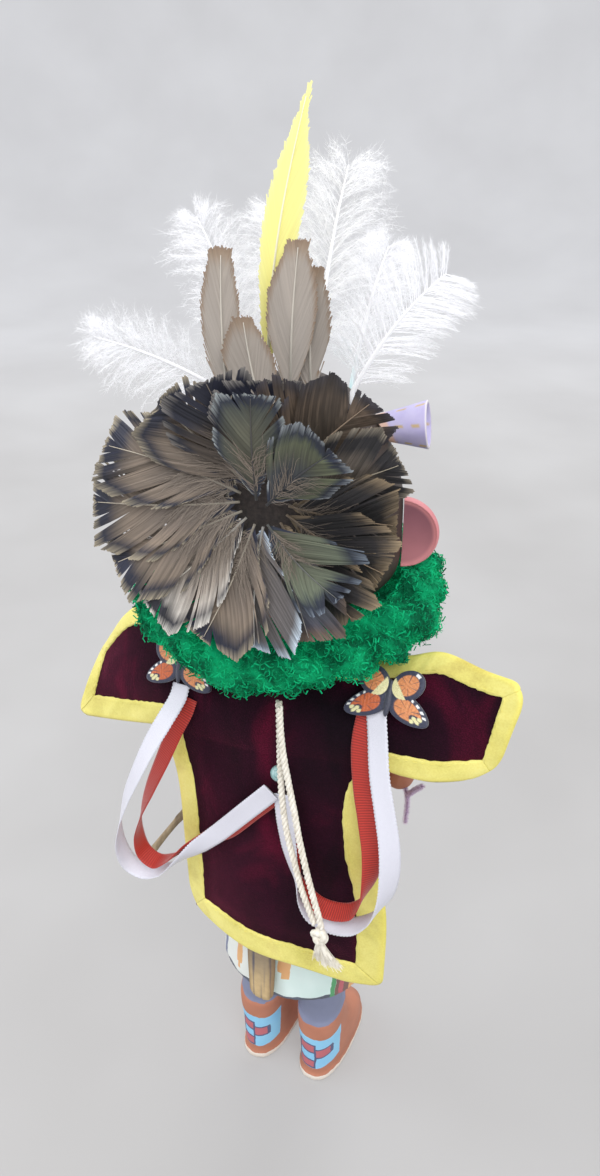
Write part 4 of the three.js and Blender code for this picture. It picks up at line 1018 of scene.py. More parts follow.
def fist(centre, axis):
    centre = np.asarray(centre, float)
    reach = unit(np.array((0, -1, 0)) + axis * axis[1])
    parts = [blob(centre, (6.2, 5.8, 7.2))]
    for k in range(4):
        parts.append(blob(centre + axis * (k - 1.5) * 3.1 + reach * 3.8, (3.2, 4.1, 1.95), axis))
    parts.append(blob(centre + axis * 3.5 + reach * 3.2 + np.array((2.0, 0, 0)), (2.2, 3.6, 2.0), axis))
    return parts


def figureParts(facts):
    parts = []
    for side in (1, -1):
        parts += bootLoft(side, facts)
        legY = 12.7 - facts["bootLength"] * 0.24 - (facts["stride"] if side < 0 else 0)
        radius = facts["leggingRadius"]
        legX = side * facts["stance"] + facts["footShift"]
        parts.append(loftOf([(legX, legY, z, radius, radius) for z in (34, 55, 76)], 40))
    w, d, waistW, waistD = facts["kiltWidth"], facts["kiltDepth"], facts["waistWidth"], facts["waistDepth"]
    kilt = [
        (z, wide, deep) for z, wide, deep in (
            (70, w, d), (74, w, d), (94.5, w * 0.96, d * 0.93), (122.5, waistW * 1.06, waistD * 1.08),
            (137, waistW * 1.05, waistD * 1.06),
        )
    ]
    lean = facts["hemShift"] / 70
    kilt = [(lean * (140 - z), 0, z, wide, deep) for z, wide, deep in kilt]
    parts.append(loftOf(smoothStations(kilt, 30), 72))
    belt = [
        (0, 0, z, waistW * k, waistD * k * 1.03)
        for z, k in ((135.5, 1.06), (136.2, 1.11), (143.6, 1.11), (144.3, 1.05))
    ]
    parts.append(loftOf(belt, 72))
    c, e, n = facts["chestWidth"], facts["chestDepth"], facts["neck"]
    torso = [
        (0, 0, 139, waistW, waistD), (0, 0, 150, waistW, waistD), (0, 0, 192.8, c, e),
        (0, 0, 221, c * 0.96, e * 0.85), (0, 0, 231.1, c * 0.72, e * 0.66),
        (0, 0, 236, n, n * 0.8), (0, 0, 246, n, n * 0.95), (0, 0, 256, n, n),
    ]
    parts.append(loftOf(smoothStations(torso, 44), 64))
    for path, fistPlace in arms.values():
        even, _ = evenSpline(path)
        shares = np.linspace(0, 1, 40)
        upper = facts["upperArm"]
        radii = np.interp(
            shares, (0, 0.25, 0.5, 0.75, 1), (upper, upper * 1.04, upper, upper * 0.84, facts["wrist"])
        )
        parts.append((sweep(even(shares), radii, 22), gridFaces(40, 22, True, True)))
        parts += fist(fistPlace, stickWay if fistPlace[0] > 0 else np.array((0, 0, 1.0)))
    head = np.array(
        [(0, 0, headBaseZ + h * headHeight, r * headRadius, r * headRadius) for h, r in headProfile]
    )
    rings, faces = loftOf(smoothStations(head, 60), 96)
    c, s = math.cos(headTurn), math.sin(headTurn)
    spin = np.array(((c, -s, 0), (s, c, 0), (0, 0, 1)))
    parts.append((rings @ spin.T + (0, headBack, 0), faces))
    snoutLine = [(0, y, maskFacts["snoutZ"]) for y in (-20, -34, -40, -42.6, -43.5)]
    snout = sweep(snoutLine, (7, 7, 6.2, 6.1, 5.3), 36)
    parts.append((snout @ spin.T + (0, headBack, 0), gridFaces(5, 36, True, True)))
    return parts


def paintFinish():
    finish, tree, shader = newFinish("painted cottonwood", 0.62)
    coords = addNode(tree, "ShaderNodeTexCoord").outputs["Object"]
    wobble = addNode(
        tree, "ShaderNodeTexNoise", {"Vector": coords, "Scale": 260.0, "Detail": 2.0}
    ).outputs["Color"]
    shake = addNode(
        tree, "ShaderNodeVectorMath", {0: wobble, 1: (0.5, 0.5, 0.5)}, operation="SUBTRACT"
    ).outputs[0]
    shake = addNode(tree, "ShaderNodeVectorMath", {0: shake, "Scale": 0.0011}, operation="SCALE").outputs[0]
    moved = addNode(tree, "ShaderNodeVectorMath", {0: coords, 1: shake}, operation="ADD").outputs[0]
    home = tuple(-dollShift * mm)
    moved = addNode(tree, "ShaderNodeVectorMath", {0: moved, 1: home}, operation="ADD").outputs[0]
    x, y, z = addNode(tree, "ShaderNodeSeparateXYZ", {0: moved}).outputs

    def add(a, b):
        return math2(tree, "ADD", a, b)

    def times(a, b):
        return math2(tree, "MULTIPLY", a, b)

    def beyond(value, low):
        return math2(tree, "GREATER_THAN", value, low * mm)

    def within(value, low, high):
        return times(beyond(value, low), math2(tree, "LESS_THAN", value, high * mm))

    c, s = math.cos(-headTurn), math.sin(-headTurn)
    fromNeck = add(y, -headBack * mm)
    headX = add(times(x, c), times(fromNeck, -s))
    headY = add(times(x, s), times(fromNeck, c))

    def both(*masks):
        made = masks[0]
        for other in masks[1:]:
            made = times(made, other)
        return made

    rust, skyBlue, slate = tone(186, 122, 96), tone(146, 206, 238), tone(128, 134, 160)
    rosy, edgeInk, cream = tone(196, 108, 116), tone(92, 96, 128), tone(226, 216, 204)
    mint, peach, green = tone(216, 234, 230), tone(224, 172, 120), tone(96, 168, 116)
    white, brown = tone(228, 232, 228), tone(136, 104, 98)
    absX = math2(tree, "ABSOLUTE", x)
    colour = rust
    layers = []

    def paint(mask, shade):
        layers.append((mask, shade))

    notHand = math2(tree, "LESS_THAN", absX, 35.5 * mm)
    paint(within(z, 0, 3.1), cream)
    for side, stride, stackFrom, stackTo, far, forward in (
        (1, 0, 5.9, -0.9, -7.1, 2.0), (-1, -1.8, 6.1, -2.7, -8.5, -1.5)
    ):
        middle = side * figureFacts["stance"] + figureFacts["footShift"]
        onBoot = within(x, middle - 11.5, middle + 11.5)
        # heights that rise towards the toes, as the painted bands do
        bandZ = add(z, times(add(y, -(10 + stride) * mm), 0.27))
        topZ = add(z, times(add(y, -(10.5 + stride) * mm), 0.42))
        paint(both(onBoot, within(topZ, 37.4, 90), within(z, 30, 70.2)), slate)
        rear = both(onBoot, beyond(y, forward), within(bandZ, 8.1, 28.5))
        paint(rear, skyBlue)
        stack = within(x, middle + stackTo, middle + stackFrom)
        left = both(within(x, middle + far, middle + stackTo + 0.9), beyond(y, 3))
        right = both(within(x, middle + stackFrom - 0.9, middle + 11.5), beyond(y, 3))
        for place, low, high in ((stack, 8.2, 24.6), (left, 15.3, 21.9), (right, 13.8, 20.8)):
            paint(both(rear, place, within(bandZ, low, high)), edgeInk)
        stack = within(x, middle + stackTo + 0.9, middle + stackFrom - 0.9)
        left = both(within(x, middle + far + 0.9, middle + stackTo), beyond(y, 3.8))
        right = both(within(x, middle + stackFrom, middle + 11.5), beyond(y, 3.8))
        for place, low, high, shade in (
            (stack, 9.1, 13.3, rosy), (stack, 14.2, 18.6, skyBlue), (stack, 19.5, 23.7, rosy),
            (left, 16.2, 21.0, rosy), (right, 14.7, 19.9, rosy),
        ):
            paint(both(rear, place, within(bandZ, low, high)), shade)
    # kilt: pale, with a dark hem, a barred left edge and striped right edge
    kiltX = add(x, times(add(z, -waistZ * mm), figureFacts["hemShift"] / 70))
    onKilt = both(within(z, 69.6, 136.3), notHand)
    paint(onKilt, mint)
    paint(both(onKilt, within(kiltX, -3, 40)), white)
    for low, high in ((23.4, 25.3), (28.6, 36)):
        paint(both(onKilt, within(kiltX, low, high)), slate)
    paint(both(onKilt, within(z, 69.6, 72.5)), (0.11, 0.125, 0.165))
    atRear = beyond(y, 0.0)
    for low, high, z0, z1 in (
        (13.0, 15.9, 78.2, 98), (13.8, 15.1, 75.4, 78.3), (-9.8, -4.5, 85.2, 98), (-9.8, -6.4, 82.4, 85.3),
        (21, 23, 90, 98), (-20, -15, 92, 98),
    ):
        paint(both(onKilt, atRear, within(kiltX, low, high), within(z, z0, z1)), peach)
    paint(both(onKilt, within(kiltX, -26.4, -24.9)), green)
    for low, shade in (
        (-27.6, brown), (-28.7, rosy), (-29.8, brown), (-30.9, peach), (-32.0, rosy), (-36, brown)
    ):
        paint(both(onKilt, within(kiltX, low, low + (1.15 if low > -33 else 4))), shade)
    front = math2(tree, "LESS_THAN", y, 0.0)
    for k, shade in enumerate((rosy, slate, green, peach)):
        paint(both(onKilt, front, within(z, 76 + 6 * k, 79.5 + 6 * k)), shade)
    onBelt = both(within(z, 135.6, 144.3), notHand)
    paint(onBelt, (0.50, 0.08, 0.05))
    paint(both(onBelt, within(z, 138.4, 141.5)), green)
    # mask: a turquoise case with a banded base and a black snout and eyes
    onMask = beyond(z, headBaseZ - 1)
    paint(onMask, (0.10, 0.42, 0.42))
    for k, shade in enumerate(((0.45, 0.06, 0.04), (0.75, 0.58, 0.10), (0.02, 0.02, 0.025))):
        low = headBaseZ + 2.2 + 3.6 * k
        paint(both(onMask, within(z, low, low + 3.6)), shade)
    paint(both(onMask, beyond(headY, -9)), tone(62, 52, 46))
    snoutRing = math2(tree, "LESS_THAN", headY, -35.6 * mm)
    paint(both(onMask, snoutRing), (0.025, 0.022, 0.022))
    for side in (-1, 1):
        eye, eyeZ = side * maskFacts["eyeAside"], maskFacts["eyeZ"]
        for wide, high, shade in ((7.6, 4.0, (0.78, 0.72, 0.62)), (5.7, 1.8, (0.012, 0.01, 0.01))):
            place = both(within(headX, eye - wide, eye + wide), within(z, eyeZ - high, eyeZ + high))
            paint(both(onMask, front, place), shade)
    for mask, shade in layers:
        colour = mixColour(tree, mask, colour, shade)
    grain = noiseOf(tree, 220.0, 5.0, stretch=(1.0, 1.0, 0.12))
    mottle = noiseOf(tree, 55.0, 4.0)
    brush = ramp(tree, mottle, [(0.25, (0.36, 0.36, 0.36)), (0.75, (0.62, 0.62, 0.62))])
    colour = mixColour(tree, 0.55, colour, brush, "OVERLAY")
    fleck = ramp(tree, noiseOf(tree, 130.0, 3.0, distortion=0.4), [(0.69, (0, 0, 0)), (0.73, (1, 1, 1))])
    dirt = times(fleck, both(onKilt, atRear, within(kiltX, -18, 2)))
    colour = mixColour(tree, times(dirt, 0.75), colour, tone(150, 140, 104))
    setColour(tree, shader, colour)
    setBump(tree, shader, grain, 0.25, 0.0004)
    return finish


def makeFigure(facts, finish):
    points, faces = joinParts(figureParts(facts))
    made = addPiece("figure_carved", inFrame(points), faces, None)
    outward(made)
    remesh = made.modifiers.new("one solid", "REMESH")
    remesh.mode, remesh.voxel_size, remesh.use_smooth_shade = "VOXEL", facts["voxel"] * mm, True
    relax = made.modifiers.new("sanded", "SMOOTH")
    relax.factor, relax.iterations = 0.5, 3
    graph = bpy.context.evaluated_depsgraph_get()
    mesh = bpy.data.meshes.new_from_object(made.evaluated_get(graph), depsgraph=graph)
    made.modifiers.clear()
    made.data = mesh
    mesh.materials.clear()
    mesh.materials.append(finish)
    co = np.zeros(len(mesh.vertices) * 3)
    mesh.vertices.foreach_get("co", co)
    p = co.reshape(-1, 3) / mm - dollShift
    c, s = math.cos(-headTurn), math.sin(-headTurn)
    hx = c * p[:, 0] - s * (p[:, 1] - headBack)
    hy = s * p[:, 0] + c * (p[:, 1] - headBack)
    push = np.zeros(len(p))
    for side in (-1, 1):
        nearEye = np.abs(hx - side * maskFacts["eyeAside"]) < 5.6
        eye = nearEye & (np.abs(p[:, 2] - maskFacts["eyeZ"]) < 1.7) & (hy < -20)
        push = np.where(eye, 1.5, push)
    hole = (np.hypot(hx, p[:, 2] - maskFacts["snoutZ"]) < 3.4) & (hy < -41)
    push = np.where(hole, 4.0, push)
    inward = np.array((-math.sin(headTurn), math.cos(headTurn), 0.0))
    p = p + inward * push[:, None]
    # shallow knife cuts down the kilt keep it from looking turned
    kilt = (p[:, 2] > 72) & (p[:, 2] < 134) & (np.abs(p[:, 0]) < 33)
    angle = np.arctan2(p[:, 1], p[:, 0])
    pleat = 0.35 * np.sin(angle * 15 + 0.6 * np.sin(p[:, 2] / 13)) * smoothstep(134, 80, p[:, 2]) * kilt
    out = unit(p * (1, 1, 0) + 1e-9)
    p = p + out * pleat[:, None]
    # facets of the knife over the whole figure
    facet = 0.10 * np.sin(p[:, 0] / 2.3 + np.sin(p[:, 2] / 3.1))
    facet = facet * np.sin(p[:, 2] / 2.7 + np.cos(p[:, 1] / 2.9))
    p = p + out * facet[:, None]
    p[:, 2] = np.maximum(p[:, 2], 0)
    mesh.vertices.foreach_set("co", ((p + dollShift) * mm).ravel())
    mesh.update()
    settle(made, "painted_wood", "figure")
    return made


figurePiece = makeFigure(figureFacts, paintFinish())
print("figure carved,", len(figurePiece.data.polygons), "faces")

# Feathers: every vane is rows of barbs on a quill, clumped and split as they are on the doll


featherFacts = {
    "pitch": 0.34, "steps": 7, "rootAngle": 58.0, "tipAngle": 24.0, "curl": 0.22, "bare": 0.03,
    "clump": 13, "swing": 0.032, "pinch": 0.3, "ragged": 0.22, "quill": 0.4,
}
# colour bands from the edge inwards as (mm, red, green, blue)
# follow: how much of the band runs down the sides
featherKinds = {
    "taupe": {
        "band": [
            (0, 150, 140, 120), (0.6, 30, 33, 50), (4.2, 30, 33, 50), (6.2, 92, 82, 74),
            (10, 128, 114, 100), (20, 112, 101, 92), (34, 84, 76, 70),
        ],
        "follow": 1.3, "bars": 0.07, "shaft": (196, 186, 168),
    },
    "navyFlat": {
        "band": [
            (0, 120, 116, 112), (0.5, 22, 24, 40), (9, 26, 28, 42),
            (14, 72, 62, 54), (40, 96, 86, 76),
        ],
        "follow": 2.0, "bars": 0.05, "shaft": (120, 110, 98),
    },
    "rust": {
        "band": [
            (0, 70, 66, 72), (0.8, 52, 48, 54), (2.6, 74, 64, 58),
            (4.2, 104, 88, 74), (12, 98, 86, 74), (30, 78, 68, 60),
        ],
        "follow": 0.9, "bars": 0.2, "shaft": (150, 130, 110),
    },
    "blackTip": {
        "band": [
            (0, 150, 140, 124), (0.6, 34, 32, 36), (5, 40, 38, 42),
            (8, 110, 100, 90), (40, 98, 90, 82),
        ],
        "follow": 0.8, "bars": 0.06, "shaft": (160, 150, 132),
    },
    "goldTip": {
        "band": [
            (0, 140, 122, 96), (1.4, 104, 90, 72), (3, 34, 31, 32),
            (12, 30, 29, 33), (40, 64, 56, 50),
        ],
        "follow": 0.7, "bars": 0.1, "shaft": (140, 120, 96),
    },
    "rustTip": {
        "band": [(0, 108, 92, 80), (2, 92, 76, 66), (4.5, 66, 66, 78), (9, 92, 96, 104), (40, 88, 82, 78)],
        "follow": 1.2, "bars": 0.08, "shaft": (150, 146, 140),
    },
    "hanging": {
        "band": [(0, 186, 200, 212), (0.9, 120, 130, 144), (2.6, 92, 88, 88), (40, 104, 96, 90)],
        "follow": 0.8, "bars": 0.05, "shaft": (206, 204, 198),
    },
    "mottled": {
        "band": [
            (0, 200, 196, 188), (0.7, 34, 34, 44), (4.4, 40, 40, 50),
            (6.4, 186, 180, 172), (14, 150, 140, 130), (40, 124, 113, 102),
        ],
        "follow": 1.4, "bars": 0.22, "shaft": (214, 208, 196),
    },
    "greenGrey": {
        "band": [
            (0, 140, 146, 146), (0.35, 30, 36, 54), (1.9, 30, 36, 50),
            (3, 62, 66, 60), (8, 80, 80, 66), (30, 56, 54, 50),
        ],
        "follow": 0.75, "bars": 0.05, "shaft": (70, 68, 66),
    },
    "blueGold": {
        "band": [
            (0, 130, 136, 140), (0.35, 26, 32, 50), (2.4, 28, 36, 52), (3.6, 84, 90, 66),
            (7, 74, 76, 60), (11, 50, 54, 60), (30, 40, 42, 48),
        ],
        "follow": 0.85, "bars": 0.05, "shaft": (56, 56, 60),
    },
    "paleGreen": {
        "band": [
            (0, 110, 120, 132), (0.4, 28, 34, 52), (3, 38, 46, 58),
            (5.2, 98, 106, 88), (14, 90, 92, 76), (30, 60, 58, 52),
        ],
        "follow": 0.75, "bars": 0.06, "shaft": (96, 98, 94),
    },
    "greyBrown": {
        "band": [(0, 142, 120, 100), (2.2, 156, 138, 120), (5, 166, 156, 146), (40, 178, 170, 162)],
        "follow": 3.0, "bars": 0.03, "uneven": 0.04, "shaft": (206, 200, 188),
    },
    "yellow": {
        "band": [(0, 246, 242, 168), (3, 250, 246, 158), (60, 248, 240, 142), (95, 214, 204, 110)],
        "follow": 6.0, "bars": 0.0, "uneven": 0.015, "shaft": (252, 248, 214),
    },
}


def barbsOf(length, halfWidth, facts, rng):
    # barbs in the feather's own plane, with how far each point is from the barb's end and from the tip
    found = []
    for sign in (-1.0, 1.0):
        count = int(length * (1 - facts["bare"]) / facts["pitch"])
        root = np.linspace(facts["bare"], 0.99, count)
        group = np.cumsum(rng.random(count) < 1 / facts["clump"])
        swing = rng.normal(0, facts["swing"], group[-1] + 1)[group]
        angle = np.radians(np.interp(root, (0, 1), (facts["rootAngle"], facts["tipAngle"]))) + swing
        longest = length * 1.1

        def walk(share):
            far = share * longest
            along = root[:, None] * length + np.cos(angle)[:, None] * far + facts["curl"] * far**2 / length
            return along, np.sin(angle)[:, None] * far * (1 - 0.1 * far / length)

        along, aside = walk(np.linspace(0, 1, 240)[None, :])
        uneven = facts["ragged"] * rng.normal(0, 1, (count, 1))
        inside = aside <= halfWidth(np.clip(along / length, 0, 1), sign) + uneven
        inside &= along <= length + uneven
        reach = np.maximum(np.minimum.accumulate(inside, 1).sum(1) / 240, 0.006)
        steps = np.linspace(0, 1, facts["steps"])
        along, aside = walk(reach[:, None] * steps)
        members = np.bincount(group)[:, None]
        for field in (along, aside):
            mean = np.stack([np.bincount(group, column) for column in field.T], 1) / members
            field += facts["pinch"] * (mean[group] - field) * steps**2
        gap = (1 - steps) * (reach * longest)[:, None]
        shade = rng.normal(0, 1, group[-1] + 1)[group]
        found.append((along, aside * sign, gap, np.maximum(length - along, 0), shade))
    return [np.concatenate(parts) for parts in zip(*found)]


def tintOf(kind, edgeGap, tipGap, aside, shade, rng):
    look = featherKinds[kind]
    gap = np.minimum(tipGap, edgeGap * look["follow"]) + rng.normal(0, 0.25, (len(aside), 1))
    at, colours = [band[0] for band in look["band"]], [tone(*band[1:]) for band in look["band"]]
    tint = np.stack([np.interp(gap, at, [c[k] for c in colours]) for k in range(3)], -1)
    light = 1 + look.get("uneven", 0.14) * (shade[:, None] + rng.normal(0, 1, (len(aside), 1)))
    light = light + look["bars"] * np.sin(tipGap * 2.3 + 1.6 * np.sin(aside * 0.7))
    return np.clip(tint * np.clip(light, 0.45, 1.6)[..., None], 0.002, 0.95)


def featherMesh(place, facing, length, halfWidth, kind, facts, rng, down=0):
    along, aside, edgeGap, tipGap, shade = barbsOf(length, halfWidth, facts, rng)
    n, m = along.shape
    smooth = min(1.0, 10 * featherKinds[kind].get("uneven", 0.1))
    lift = smooth * (0.12 * shade[:, None] * np.linspace(0, 1, m) + rng.normal(0, 0.05, (n, 1)))
    lines = place(along, aside, lift)
    tint = tintOf(kind, edgeGap, tipGap, aside, shade, rng)
    widths = facts["pitch"] * mm * np.linspace(1.35, 0.95, m) * np.ones((n, 1))
    tilt = facing + smooth * (rng.normal(0, 0.10, (n, 3)) + 0.10 * shade[:, None] * (0, 0, 1.0))
    parts = [ribbonsOf(lines, widths, np.repeat(tilt[:, None], m, 1))]
    tints = [np.repeat(tint.reshape(-1, 3), 2, 0)]
    shares = np.linspace(0, 0.97, 26)
    shaft = place(shares * length, np.zeros(26), np.full(26, 0.22))
    rings = sweep(shaft, facts["quill"] * mm * (1 - 0.8 * shares), 7)
    parts.append((rings, gridFaces(26, 7, True, True)))
    shaded = np.outer(0.4 + 0.6 * smoothstep(0.1, 0.7, shares), tone(*featherKinds[kind]["shaft"]))
    tints.append(np.repeat(shaded, 7, 0))
    if down:
        start = rng.uniform(2, length * 0.42, down)[:, None]
        side = rng.choice([-1, 1], down)[:, None]
        far = np.linspace(0, 1, 8) * rng.uniform(5, 13, down)[:, None]
        bend = rng.uniform(0.5, 1.15, down)[:, None]
        wave = 0.5 * np.sin(far * rng.uniform(0.5, 1.1, down)[:, None] + rng.uniform(0, 6, down)[:, None])
        fluff = place(start + far * np.cos(bend) + wave, side * far * np.sin(bend) * 0.75 + wave,
                      0.4 + rng.uniform(0.05, 0.2, down)[:, None] * far)
        fineWidths = 0.16 * mm * np.linspace(1, 0.4, 8) * np.ones((down, 1))
        parts.append(ribbonsOf(fluff, fineWidths, np.tile(facing, (down, 8, 1))))
        pale = np.array(tone(128, 116, 104)) * rng.uniform(0.5, 1.2, (down, 1))
        tints.append(np.repeat(np.repeat(pale[:, None], 8, 1).reshape(-1, 3), 2, 0))
    points, faces = joinParts(parts)
    tints = np.concatenate(tints)
    return points, faces, np.hstack([tints, np.ones((len(tints), 1))])


def featherFinish():
    finish, tree, shader = newFinish("feather vane", 0.5, Sheen_Weight=0.12)
    setColour(tree, shader, readField(tree, "tint", "Color"))
    return finish


def openVane(share, blunt):
    closing = 1 - (1 - blunt) * smoothstep(0.62, 1, share) ** 1.6
    return (0.1 + 0.9 * smoothstep(0.03, 0.62, share)) * closing


rosetteFacts = {
    "reach": 39.8, "offCentre": 4.7, "widening": 2.0, "width": 24.0, "twist": 0.36, "cone": 0.14,
    "hubZ": 298.0, "hubY": 36.8,
    "level": 2.4, "topLevel": 10.62, "count": 16, "upperSweep": 9.0,
}
rosetteKinds = [
    "navyFlat", "rust", "rust", "blackTip", "goldTip", "goldTip", "goldTip", "rustTip", "hanging", "taupe",
    "mottled", "taupe", "taupe", "taupe", "taupe", "navyFlat",
]
topFeathers = [
    {"degrees": 1, "reach": 34, "width": 20, "kind": "greenGrey"},
    {"degrees": 46, "reach": 30, "width": 24, "kind": "blueGold"},
    {"degrees": 131, "reach": 32, "width": 31, "kind": "paleGreen"},
]


def rosetteFeather(
    name, angle, reach, width, level, twist, start, kind, facts, finish, rng, down=0, barbs=None
):
    cone = facts["cone"] * (1 + 0.5 * max(0, -math.cos(angle)))
    way = np.array((-math.sin(angle), 0, math.cos(angle)))
    across = np.array((math.cos(angle), 0, math.sin(angle)))
    bow, curl = rng.uniform(-1.6, 1.6), rng.uniform(-0.5, 1.6)
    length = reach - start

    def place(along, aside, lift):
        share = np.asarray(along) / length
        far = start + np.asarray(along)
        sway = aside + bow * np.sin(math.pi * np.clip(share, 0, 1))
        flat = far[..., None] * way + sway[..., None] * across
        y = level + cone * far + twist * aside - 0.006 * aside**2 + curl * share**2 + lift
        return onHead(flat + y[..., None] * (0, 1, 0) + (0, facts["hubY"], facts["hubZ"]))

    def halfWidth(share, sign):
        return width / 2 * openVane(share, 0.82) * (1 + 0.12 * sign)

    normal = np.cross(across + (0, twist, 0), way + (0, cone, 0))
    normal = unit(normal * (1 if normal[1] > 0 else -1))
    c, s = math.cos(headTurn), math.sin(headTurn)
    facing = np.array((c * normal[0] - s * normal[1], s * normal[0] + c * normal[1], normal[2]))
    points, faces, tint = featherMesh(
        place, facing, length, halfWidth, kind, {**featherFacts, **(barbs or {})}, rng, down
    )
    made = addPiece(name + "_vane", points, faces, finish, {"tint": tint})
    settle(made, "brown_feather", name)


def spread(index, salt):
    wave = math.sin(index * 127.1 + salt * 311.7) * 43758.5453
    return 2 * (wave - math.floor(wave)) - 1


def makeRosette(facts, finish):
    for k in range(facts["count"]):
        angle = 2 * math.pi * k / facts["count"]
        reach = facts["reach"] - facts["widening"] * math.cos(2 * angle) + 1.5 * spread(k, 3)
        reach -= facts["offCentre"] * (math.sin(angle) + 0.9 * math.cos(angle))
        reach += facts["upperSweep"] * math.exp(-(((angle - 0.84) / 0.5) ** 2))
        rng = np.random.default_rng(100 + k)
        down = 150 if 9 <= k <= 14 else 50
        toward = angle + rng.uniform(-0.05, 0.05)
        width = facts["width"] * rng.uniform(1.05, 1.2)
        rosetteFeather("rosette_feather_%02d" % (k + 1), toward, reach + 0.8, width, facts["level"],
                       facts["twist"], 7, rosetteKinds[k], facts, finish, rng, down)
    for k, feather in enumerate(topFeathers):
        rng = np.random.default_rng(140 + k)
        fingers = {"swing": 0.085, "pinch": 0.7, "clump": 13} if feather["kind"] == "paleGreen" else {}
        rosetteFeather("rosette_feather_%02d" % (facts["count"] + 1 + k), math.radians(feather["degrees"]),
                       feather["reach"], feather["width"], facts["topLevel"], 0.14, 4, feather["kind"],
                       facts, finish, rng, 60, fingers)


crownFeathers = {
    "yellow_feather": {
        "base": (5, 14), "tip": (-6.5, 14, 400), "width": 9.8, "bow": 3.0, "blunt": 0.04, "kind": "yellow"
    },
    "grey_feather_1": {
        "base": (12.6, 22), "tip": (15.5, 22, 362), "width": 11, "bow": 2, "blunt": 0.55,
        "kind": "greyBrown"
    },
    "grey_feather_2": {
        "base": (-1, 25.5), "tip": (9, 25.5, 345), "width": 15, "bow": 2, "blunt": 0.4, "kind": "greyBrown"
    },
    "grey_feather_3": {
        "base": (-3, 19), "tip": (-5, 19, 364), "width": 14, "bow": 1, "blunt": 0.4, "kind": "greyBrown"
    },
    "grey_feather_4": {
        "base": (-9, 16.2), "tip": (-8, 16.2, 357), "width": 12.5, "bow": 1, "blunt": 0.55,
        "kind": "greyBrown"
    },
}


def headTop(x, y):
    reach = math.hypot(x, y) / headRadius
    heights = [h for h, r in reversed(headProfile[3:])]
    widths = [r for h, r in reversed(headProfile[3:])]
    return headBaseZ + headHeight * float(np.interp(reach, widths, heights))


def crownFeather(name, facts, finish, rng):
    (x0, y0), (x1, _, z1) = facts["base"], facts["tip"]
    z0 = headTop(x0, y0) - 5
    length = z1 - z0

    def place(along, aside, lift):
        share = np.asarray(along) / length
        sway = facts["bow"] * np.sin(math.pi * np.clip(share, 0, 1))
        sway = sway + (x1 - x0) * np.clip(share, 0, 1.1) ** 1.2
        x = x0 + sway + aside
        y = y0 - 0.014 * aside**2 + lift
        return onHead(np.stack([x, y, z0 + np.asarray(along)], -1))

    def halfWidth(share, sign):
        vane = np.clip((share - 7 / length) / (1 - 7 / length), 0, 1)
        lean = 1 + 0.3 * sign * (0.4 - vane) if name == "yellow_feather" else 1 + 0.1 * sign
        half = facts["width"] / 2 * openVane(vane * 0.97 + 0.03, facts["blunt"]) * lean
        return np.where(vane <= 0, 0.3, half)

    c, s = math.cos(headTurn), math.sin(headTurn)
    barbs = {
        **featherFacts, "bare": 7 / length, "rootAngle": 30.0, "tipAngle": 9.0, "quill": 0.55, "clump": 45,
             "swing": 0.008, "pinch": 0.04, "ragged": 0.3}
    points, faces, tint = featherMesh(
        place, np.array((-s, c, 0)), length, halfWidth, facts["kind"], barbs, rng
    )
    made = addPiece(name + "_vane", points, faces, finish, {"tint": tint})
    settle(made, "yellow_feather" if name == "yellow_feather" else "grey_feather", name)


vaneFinish = featherFinish()
makeRosette(rosetteFacts, vaneFinish)
for crownIndex, (crownName, crownOne) in enumerate(crownFeathers.items()):
    crownFeather(crownName, crownOne, vaneFinish, np.random.default_rng(200 + crownIndex))
print("feathers made")

# White plumes: soft barbs with downy hairs

plumeFacts = {
    "white_plume_1": {"base": (21, 5), "tip": (63, 5, 333), "width": 21, "spiky": False},
    "white_plume_2": {"base": (15, -4), "tip": (31, -4, 367), "width": 20, "spiky": False},
    "white_plume_3": {"base": (-18, 5), "tip": (-43, 5, 355), "width": 27, "spiky": True},
    "white_plume_4": {"base": (-4, -8), "tip": (-13, -8, 381), "width": 27, "spiky": False},
    "white_plume_5": {"base": (5, -17), "tip": (12, -17, 369), "width": 19, "spiky": False},
    "white_plume_6": {"base": (-14, -17), "tip": (-24, -17, 359), "width": 20, "spiky": False},
}


def plumeFinish():
    finish, tree, shader = newFinish("white down", 0.75)
    shader.inputs["Base Color"].default_value = (0.95, 0.95, 0.97, 1)
    # painted glow, standing in for light that passes between the hairs
    shader.inputs["Emission Color"].default_value = (0.95, 0.96, 1.0, 1)
    shader.inputs["Emission Strength"].default_value = 0.07
    return finish


